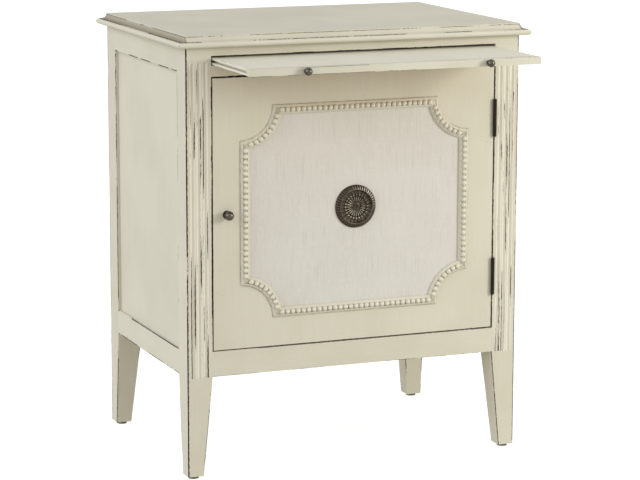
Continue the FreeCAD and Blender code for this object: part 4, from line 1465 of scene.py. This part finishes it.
@dataclass
class HingeTrim:
    """The slotted screw heads in the hinge leaves and the rounded ends of the pins."""

    bronze: DarkBronze
    heights: Pair = (597.75 * MM, 315.75 * MM)
    half_length: float = 32.5 * MM
    pin: Pair = (262.1 * MM, -129.15 * MM)
    barrel: float = 3.2 * MM
    leaf_gap: float = 0.4 * MM
    head: float = 2.9 * MM
    slot: float = 0.16
    slot_turns: Point = (0.5, 40.0, 3.0)
    head_rings: tuple[float, float, int] = (0.94, 0.04, 12)
    proud: float = 0.12 * MM
    sunk: float = 0.5 * MM
    screw_places: tuple[Pair, ...] = (
        (-22.0 * MM, -114.8 * MM), (0.0, -119.2 * MM), (22.0 * MM, -114.8 * MM)
    )
    tip: Point = (0.85, 1.5 * MM, 0.8 * MM)
    head_rub: float = 0.3
    tip_rub: float = 0.25
    tip_around: int = 20
    around: int = 24

    def screw(self) -> Surface:
        """A flat head with a slot: the height is nothing where |y| is under the slot's half width.

        Returns:
            The closed surface.
        """
        stops = np.concatenate([[self.head, self.head], np.linspace(*self.head_rings) * self.head])
        radius, turn = polar(stops, self.around)
        x, y = radius * np.cos(turn), radius * np.sin(turn)
        height = np.full_like(x, self.proud)
        height[0] = -self.sunk
        height[2:] = np.where(np.abs(y[2:]) < self.slot * self.head, 0.0, height[2:])
        return Surface.turned(np.stack([x, y, height], axis=-1), np.full_like(x, self.head_rub))

    def row(self, x: float, out: float) -> Surface:
        """Three screws to a leaf, on both hinges, on a face across X.

        Args:
            x: where the leaf's face is.
            out: the way it faces along X, -1 or 1.
        Returns:
            The six heads.
        """
        head, heads = self.screw(), []
        first, by_step, by_height = self.slot_turns
        for height in self.heights:
            for step, y in self.screw_places:
                slot_turn = first + by_step * step + by_height * height
                deep, up = rotated(head.points[:, 0], head.points[:, 1], slot_turn)
                spot = [x + out * head.points[:, 2], y + out * deep, height + step + up]
                heads.append(Surface(np.stack(spot, axis=-1), head.faces, head.relief))
        return Surface.joined(heads)

    def tips(self) -> Surface:
        """Low domes on both ends of the pins: (r cos p cos a, r cos p sin a, h sin p).

        Returns:
            The four tips.
        """
        share, rise, sunk = self.tip
        radius = share * self.barrel
        dome = arc((0.0, 0.0), (radius, rise), 0, 80, 6)
        whole = lathe(np.concatenate([[[radius, -sunk]], dome]), self.tip_around)
        x, y, z = whole.points.T
        relief = np.full(len(x), self.tip_rub)
        tips = []
        for height in self.heights:
            for way in (1.0, -1.0):
                spot = [self.pin[0] + x, self.pin[1] + way * y, height + way * (self.half_length + z)]
                tips.append(Surface(np.stack(spot, axis=-1), whole.faces, relief))
        return Surface.joined(tips)

    def build(self) -> None:
        """Makes the heads and the tips; the pins belong to the leaves on the post."""
        bronze = self.bronze.coat("bronze_hinge_trim", True)
        half = self.leaf_gap / 2
        post = Surface.joined([self.row(self.pin[0] + half, -1.0), self.tips()]).piece("post_hinge_trim")
        settle(post, bronze, "carcase", "dark_bronze")
        settle(self.row(self.pin[0] - half, 1.0).piece("door_hinge_screws"), bronze, "door", "dark_bronze")


@dataclass
class PaintedPieces:
    """The frame's own painted boards and sticks, each with the wear that its place has given it."""

    paint: CreamPaint
    tray_paint: CreamPaint
    taper_top: float = 178.0 * MM
    taper: float = 17.0 / 173.0
    panel_span: Pair = (221.5 * MM, 692.0 * MM)
    flute_high: float = 715.0 * MM
    flute_rubbed: float = 640.0 * MM
    flute_ragged: float = 320.0 * MM
    quirk: float = 751.8 * MM
    lip: float = 760.0 * MM
    cove_end: float = 308.0 * MM
    soften: float = 0.8 * MM
    soft_steps: int = 2
    weld: float = 0.01 * MM
    flat_angle: float = math.radians(0.5)
    sharp_angle: float = math.radians(40.0)
    seed_step: float = 1.37

    def box(self, node: str, open_axes: str = "") -> EdgeBox:
        """A node's own box, with no edge across the axes that are named.

        Args:
            node: the node's name.
            open_axes: letters of the axes along which the box has no ends.
        Returns:
            The box.
        """
        low, high = (list(corner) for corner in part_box(node))
        for axis in open_axes:
            low["xyz".index(axis)], high["xyz".index(axis)] = -FAR, FAR
        return EdgeBox(tuple(low), tuple(high))

    def post_box(self, node: str) -> EdgeBox:
        """A post's box: below the rails its two inner faces lean in to the foot.

        Args:
            node: the post's name.
        Returns:
            The leaning box.
        """
        box = self.box(node, "z")
        across = -self.taper if "left" in node else self.taper
        deep = -self.taper if "front" in node else self.taper
        lean_low = (max(across, 0.0), max(deep, 0.0), 0.0)
        lean_high = (min(across, 0.0), min(deep, 0.0), 0.0)
        return EdgeBox(box.low, box.high, lean_low, lean_high, self.taper_top)

    def outer_corner(self, node: str) -> EdgeBox:
        """The one edge of a post that stands at a corner of the table.

        Args:
            node: the post's name.
        Returns:
            A box whose other edges are far off.
        """
        low, high = (list(corner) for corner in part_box(node))
        far = {"left": (high, 0), "right": (low, 0), "front": (high, 1), "back": (low, 1)}
        for side, (corner, axis) in far.items():
            if side in node:
                corner[axis] = math.copysign(FAR, corner[axis] - (low[axis] + high[axis]) / 2)
        low[2], high[2] = -FAR, FAR
        return EdgeBox(tuple(low), tuple(high))

    def post_lines(self, node: str) -> list[tuple[Line, RubbedLine]]:
        """The rubbed lines of a post: its outer corner, and its other edges where no rail is flush.

        Args:
            node: the post's name.
        Returns:
            Each line and its look.
        """
        box = self.post_box(node)
        width, cut = (1.7 * MM, 0.46) if "right" in node else (2.4 * MM, 0.37)
        bold = RubbedLine(width, cut, Grain.ALONG_Z, 7.0)
        thin = RubbedLine(1.2 * MM, 0.45, Grain.ALONG_Z, 7.0)
        foot = RubbedLine(1.35 * MM, 0.46, Grain.ALONG_Z, 9.0)
        return [
            (self.outer_corner(node), bold),
            (Stretch(box, *self.panel_span), thin),
            (Stretch(box, 0.0, self.taper_top), foot),
        ]

    def round_edges(self, node: bpy.types.Object, width: float) -> None:
        """Joins a node's triangles into flat faces and rounds its sharp edges a little.

        Args:
            node: the frame's own object.
            width: how wide the rounding is.
        """
        node.modifiers.new("join", "WELD").merge_threshold = self.weld
        flat = node.modifiers.new("flat_faces", "DECIMATE")
        flat.decimate_type = "DISSOLVE"
        flat.angle_limit = self.flat_angle
        soft = node.modifiers.new("soft_edges", "BEVEL")
        soft.width = width
        soft.segments = self.soft_steps
        soft.limit_method = "ANGLE"
        soft.angle_limit = self.sharp_angle
        soft.use_clamp_overlap = True
        node.modifiers.new("even_light", "WEIGHTED_NORMAL").keep_sharp = True

    def plans(self) -> dict[str, tuple[Grain, list[tuple[Line, RubbedLine]]]]:
        """Says how each node is painted and rubbed.

        Returns:
            For each node its grain and its rubbed lines.
        """
        plans = {}
        for end in ("front", "back"):
            for side in ("left", "right"):
                node = f"{end}_{side}_post"
                plans[node] = (Grain.ALONG_Z, self.post_lines(node))
        wide = RubbedLine(0.7 * MM, 0.46, Grain.ALONG_X)
        faint = RubbedLine(0.6 * MM, 0.52, Grain.ALONG_X, 12.0)
        for level in ("front_top", "front_middle", "front_bottom", "back_top", "back_bottom"):
            node = f"{level}_rail"
            plans[node] = (Grain.ALONG_X, [(self.box(node, "x"), wide)])
        dashes = RubbedLine(1.7 * MM, 0.45, Grain.ALONG_Y, 22.0)
        for side in ("left", "right"):
            for level in ("top", "bottom"):
                node = f"{side}_side_{level}_rail"
                plans[node] = (Grain.ALONG_Y, [(self.box(node, "y"), dashes)])
            plans[f"{side}_side_panel"] = (Grain.ALONG_Z, [])
        plans["back_panel"] = (Grain.ALONG_Z, [])
        # the dark line along the door's top edge: wear, and painted shade of the gap under the rail
        head = RubbedLine(1.3 * MM, 0.3, Grain.ALONG_X)
        plans["door_board"] = (Grain.ALONG_Z, [
            (self.box("door_board"), faint), (Level(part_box("door_board")[1][2]), head),
        ])
        for node in ("tray_board", "tray_front_strip", "shelf"):
            plans[node] = (Grain.ALONG_X, [(self.box(node), faint)])
        plans["cabinet_floor"] = (Grain.ALONG_X, [])
        corner = RubbedLine(0.6 * MM, 0.47, Grain.ALONG_Z)
        quirk = RubbedLine(0.4 * MM, 0.47, Grain.ALONG_Z, 0.0, 9.0)
        lip = RubbedLine(0.36 * MM, 0.44, Grain.ALONG_Z, 0.0, 9.0)
        plans["top"] = (Grain.ALONG_X, [
            (self.box("top", "z"), corner), (Level(self.quirk), quirk), (Level(self.lip), lip),
        ])
        return plans

    def marks(self, name: str) -> StainOrShade:
        """Where a node is darkened: its cove, its bare rim as painted shade of the door gap, or its bare
        underside.

        Args:
            name: the node's name.
        Returns:
            The place, if there is one.
        """
        low, high = (tuple(corner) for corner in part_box(name))
        places = {
            "top": CoveDarkening(self.quirk, self.lip, self.cove_end),
            "door_board": BareRimAndGapShade(low, high),
            "tray_board": BareUnderside(low[2]),
        }
        return places.get(name)

    def build(self) -> None:
        """Paints every piece of the plan."""
        for index, (name, (grain, lines)) in enumerate(self.plans().items()):
            node = frame["nodes"][name]
            flutes = None
            if name in ("front_left_post", "front_right_post"):
                low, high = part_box(name)
                flutes = FluteRow((low[0] + high[0]) / 2, self.taper_top, self.flute_high)
                rubbed = FluteRow(flutes.centre, self.taper_top, self.flute_rubbed, self.flute_ragged)
                lips = RubbedLine(1.25 * MM, 0.5, Grain.ALONG_Z, along=6.0, across=180.0)
                lines = [*lines, (rubbed, lips)]
            paint = self.tray_paint if name == "tray_board" else self.paint
            seed = index * self.seed_step
            dress(node, paint.coat(f"paint_{name}", grain, lines, flutes, self.marks(name), seed))
            if not name.endswith(("post", "rail")):
                self.round_edges(node, self.soften)
            LOG.info("%s: painted", name)


def dress(node: bpy.types.Object, material: bpy.types.Material) -> None:
    """Gives a node of the frame one finish."""
    node.data.materials.clear()
    node.data.materials.append(material)


@dataclass
class HiddenPieces:
    """The frame's own pieces that aren't painted: wood inside, metal and plastic."""

    wood: BareWood
    bronze: DarkBronze
    steel: Mottled
    catch: Mottled
    glide: Mottled

    def build(self) -> None:
        """Gives each of them its finish."""
        along_y = self.wood.coat("bare_wood_deep", Grain.ALONG_Y)
        along_x = self.wood.coat("bare_wood_wide", Grain.ALONG_X)
        bronze = self.bronze.coat("bronze_hinges", False)
        steel = self.steel.coat("strike_steel")
        finishes = {
            "left_tray_runner": along_y, "right_tray_runner": along_y, "left_top_cleat": along_y,
            "right_top_cleat": along_y, "dust_panel": along_x, "panel_board": along_x,
            "tray_stop_blocks": along_x, "hinge_post_leaves": bronze, "hinge_door_leaves": bronze,
            "strike_plate": steel, "shelf_pins": steel, "catch_magnet": self.catch.coat("catch_plastic"),
            "glides": self.glide.coat("glide_plastic"),
        }
        for name, material in finishes.items():
            dress(frame["nodes"][name], material)
            LOG.info("%s: dressed", name)


@dataclass
class Studio:
    """A pale glowing floor, a softbox at the right, soft light from the left and above, and the camera."""

    eye: Point = (-1.6999, -4.14285, 1.2074)
    yaw: float = 22.130
    pitch: float = 10.521
    roll: float = 0.128
    lens: float = 144.5
    floor_reach: float = 40.0
    floor_tones: tuple[Tone, Tone] = (tone(152, 152, 152), tone(148, 148, 147))
    floor_clouds: float = 1.5
    floor_roughness: float = 0.9
    floor_glow: Pair = (0.33, 0.85)
    # the warm glow that the floor sends onto the table, in place of bounced light
    floor_glow_tone: Tone = (1.0, 0.93, 0.72, 1.0)
    key_power: float = 35.4
    key_size: Pair = (0.7, 0.9)
    key_place: Point = (1.8, -1.8, 1.2)
    key_colour: Point = (1.0, 0.985, 0.92)
    key_aim: Point = (0.0, 0.0, 0.4)
    left_strength: float = 1.84
    left_breadth: float = 60.0
    left_aim: Point = (1.0, 0.1, -0.4)
    left_colour: Point = (0.88, 0.9, 1.0)
    air_colour: Tone = (1.0, 0.985, 0.97, 1.0)
    air_strength: float = 0.68

    def floor(self) -> None:
        """A wide pale floor that glows: evenly white to the camera, dim and warm towards the table in place
        of bounced light.
        """
        mesh = bpy.data.meshes.new("studio_floor")
        far = self.floor_reach
        mesh.from_pydata([(-far, -far, 0), (far, -far, 0), (far, far, 0), (-far, far, 0)], [], [(0, 1, 2, 3)])
        floor = shown("studio_floor", mesh)
        bench = MaterialBench("pale_floor")
        seen = bench.add("ShaderNodeLightPath", {}).outputs["Is Camera Ray"]
        bench.feed(bench.shader, {
            "Base Color": bench.mix(bench.noise(bench.point, self.floor_clouds), *self.floor_tones),
            "Roughness": self.floor_roughness,
            "Emission Strength": bench.ramp(seen, 0.0, 1.0, *self.floor_glow),
            "Emission Color": bench.mix(seen, self.floor_glow_tone, WHITE),
        })
        dress(floor, bench.material)

    def lamp(self, light: bpy.types.Light, place: Point, aim: Vector) -> None:
        """Hangs a light.

        Args:
            light: the light itself.
            place: where it hangs.
            aim: the way its light goes.
        """
        lamp = shown(light.name, light)
        lamp.location = place
        lamp.rotation_euler = aim.to_track_quat("-Z", "Y").to_euler()

    def lights(self) -> None:
        """A bright upright rectangle that faces the object, and a broad soft light all over from the left."""
        key = bpy.data.lights.new("key_light", "AREA")
        key.shape = "RECTANGLE"
        key.energy = self.key_power
        key.size, key.size_y = self.key_size
        key.color = self.key_colour
        self.lamp(key, self.key_place, Vector(self.key_aim) - Vector(self.key_place))
        left = bpy.data.lights.new("left_light", "SUN")
        left.energy = self.left_strength
        left.angle = math.radians(self.left_breadth)
        left.color = self.left_colour
        self.lamp(left, (0.0, 0.0, 0.0), Vector(self.left_aim))

    def camera(self) -> None:
        """The camera at the photograph's own place."""
        lens = bpy.data.cameras.new("photo_camera")
        lens.lens = self.lens
        camera = shown("photo_camera", lens)
        camera.location = self.eye
        aim = Euler((math.radians(90.0 - self.pitch), 0.0, math.radians(-self.yaw))).to_quaternion()
        camera.rotation_mode = "QUATERNION"
        camera.rotation_quaternion = aim @ Quaternion((0.0, 0.0, 1.0), math.radians(self.roll))
        bpy.context.scene.camera = camera

    def build(self) -> None:
        """Sets up the floor, the lights and the camera."""
        scene = bpy.context.scene
        self.floor()
        self.lights()
        world = bpy.data.worlds.new("studio_air")
        world.use_nodes = True
        air = world.node_tree.nodes["Background"]
        air.inputs["Color"].default_value = self.air_colour
        air.inputs["Strength"].default_value = self.air_strength
        scene.world = world
        scene.view_settings.view_transform = "Standard"
        self.camera()


def main() -> None:
    """Builds every sub-assembly in order."""
    logging.basicConfig(level=logging.INFO, format="%(name)s: %(message)s")
    paint, bronze = CreamPaint(), DarkBronze()
    Studio().build()
    tray_paint = CreamPaint(tone(219, 216, 201), tone(208, 204, 187))
    PaintedPieces(paint, tray_paint).build()
    hinge_bronze = DarkBronze(tone(84, 72, 56), tone(32, 25, 18))
    black_bronze = DarkBronze(
        tone(150, 138, 116), tone(30, 23, 16), metallic=0.6, smooth=0.2, matt=0.32, lacquer=0.4
    )
    rubbed_bronze = DarkBronze(tone(232, 224, 204), tone(47, 37, 25))
    HiddenPieces(
        BareWood(),
        hinge_bronze,
        steel=Mottled(tone(176, 176, 172), tone(138, 137, 132), metallic=0.95, roughness=0.36),
        catch=Mottled(tone(92, 66, 44), tone(72, 50, 33), metallic=0.0, roughness=0.45),
        glide=Mottled(tone(120, 118, 112), tone(98, 96, 92), metallic=0.0, roughness=0.55),
    ).build()
    LinenPanel(Linen()).build()
    PearlFrame(paint).build()
    Rosette(rubbed_bronze).build()
    Knobs(
        black_bronze,
        door=Knob(radius=8.2 * MM, centre=12.0 * MM, rose=(7.4 * MM, 1.6 * MM), neck=3.6 * MM),
        tray=Knob(radius=6.8 * MM, centre=8.4 * MM, rose=(4.8 * MM, 1.0 * MM), neck=2.8 * MM),
    ).build()
    HingeTrim(bronze).build()


if __name__ == "__main__":
    main()
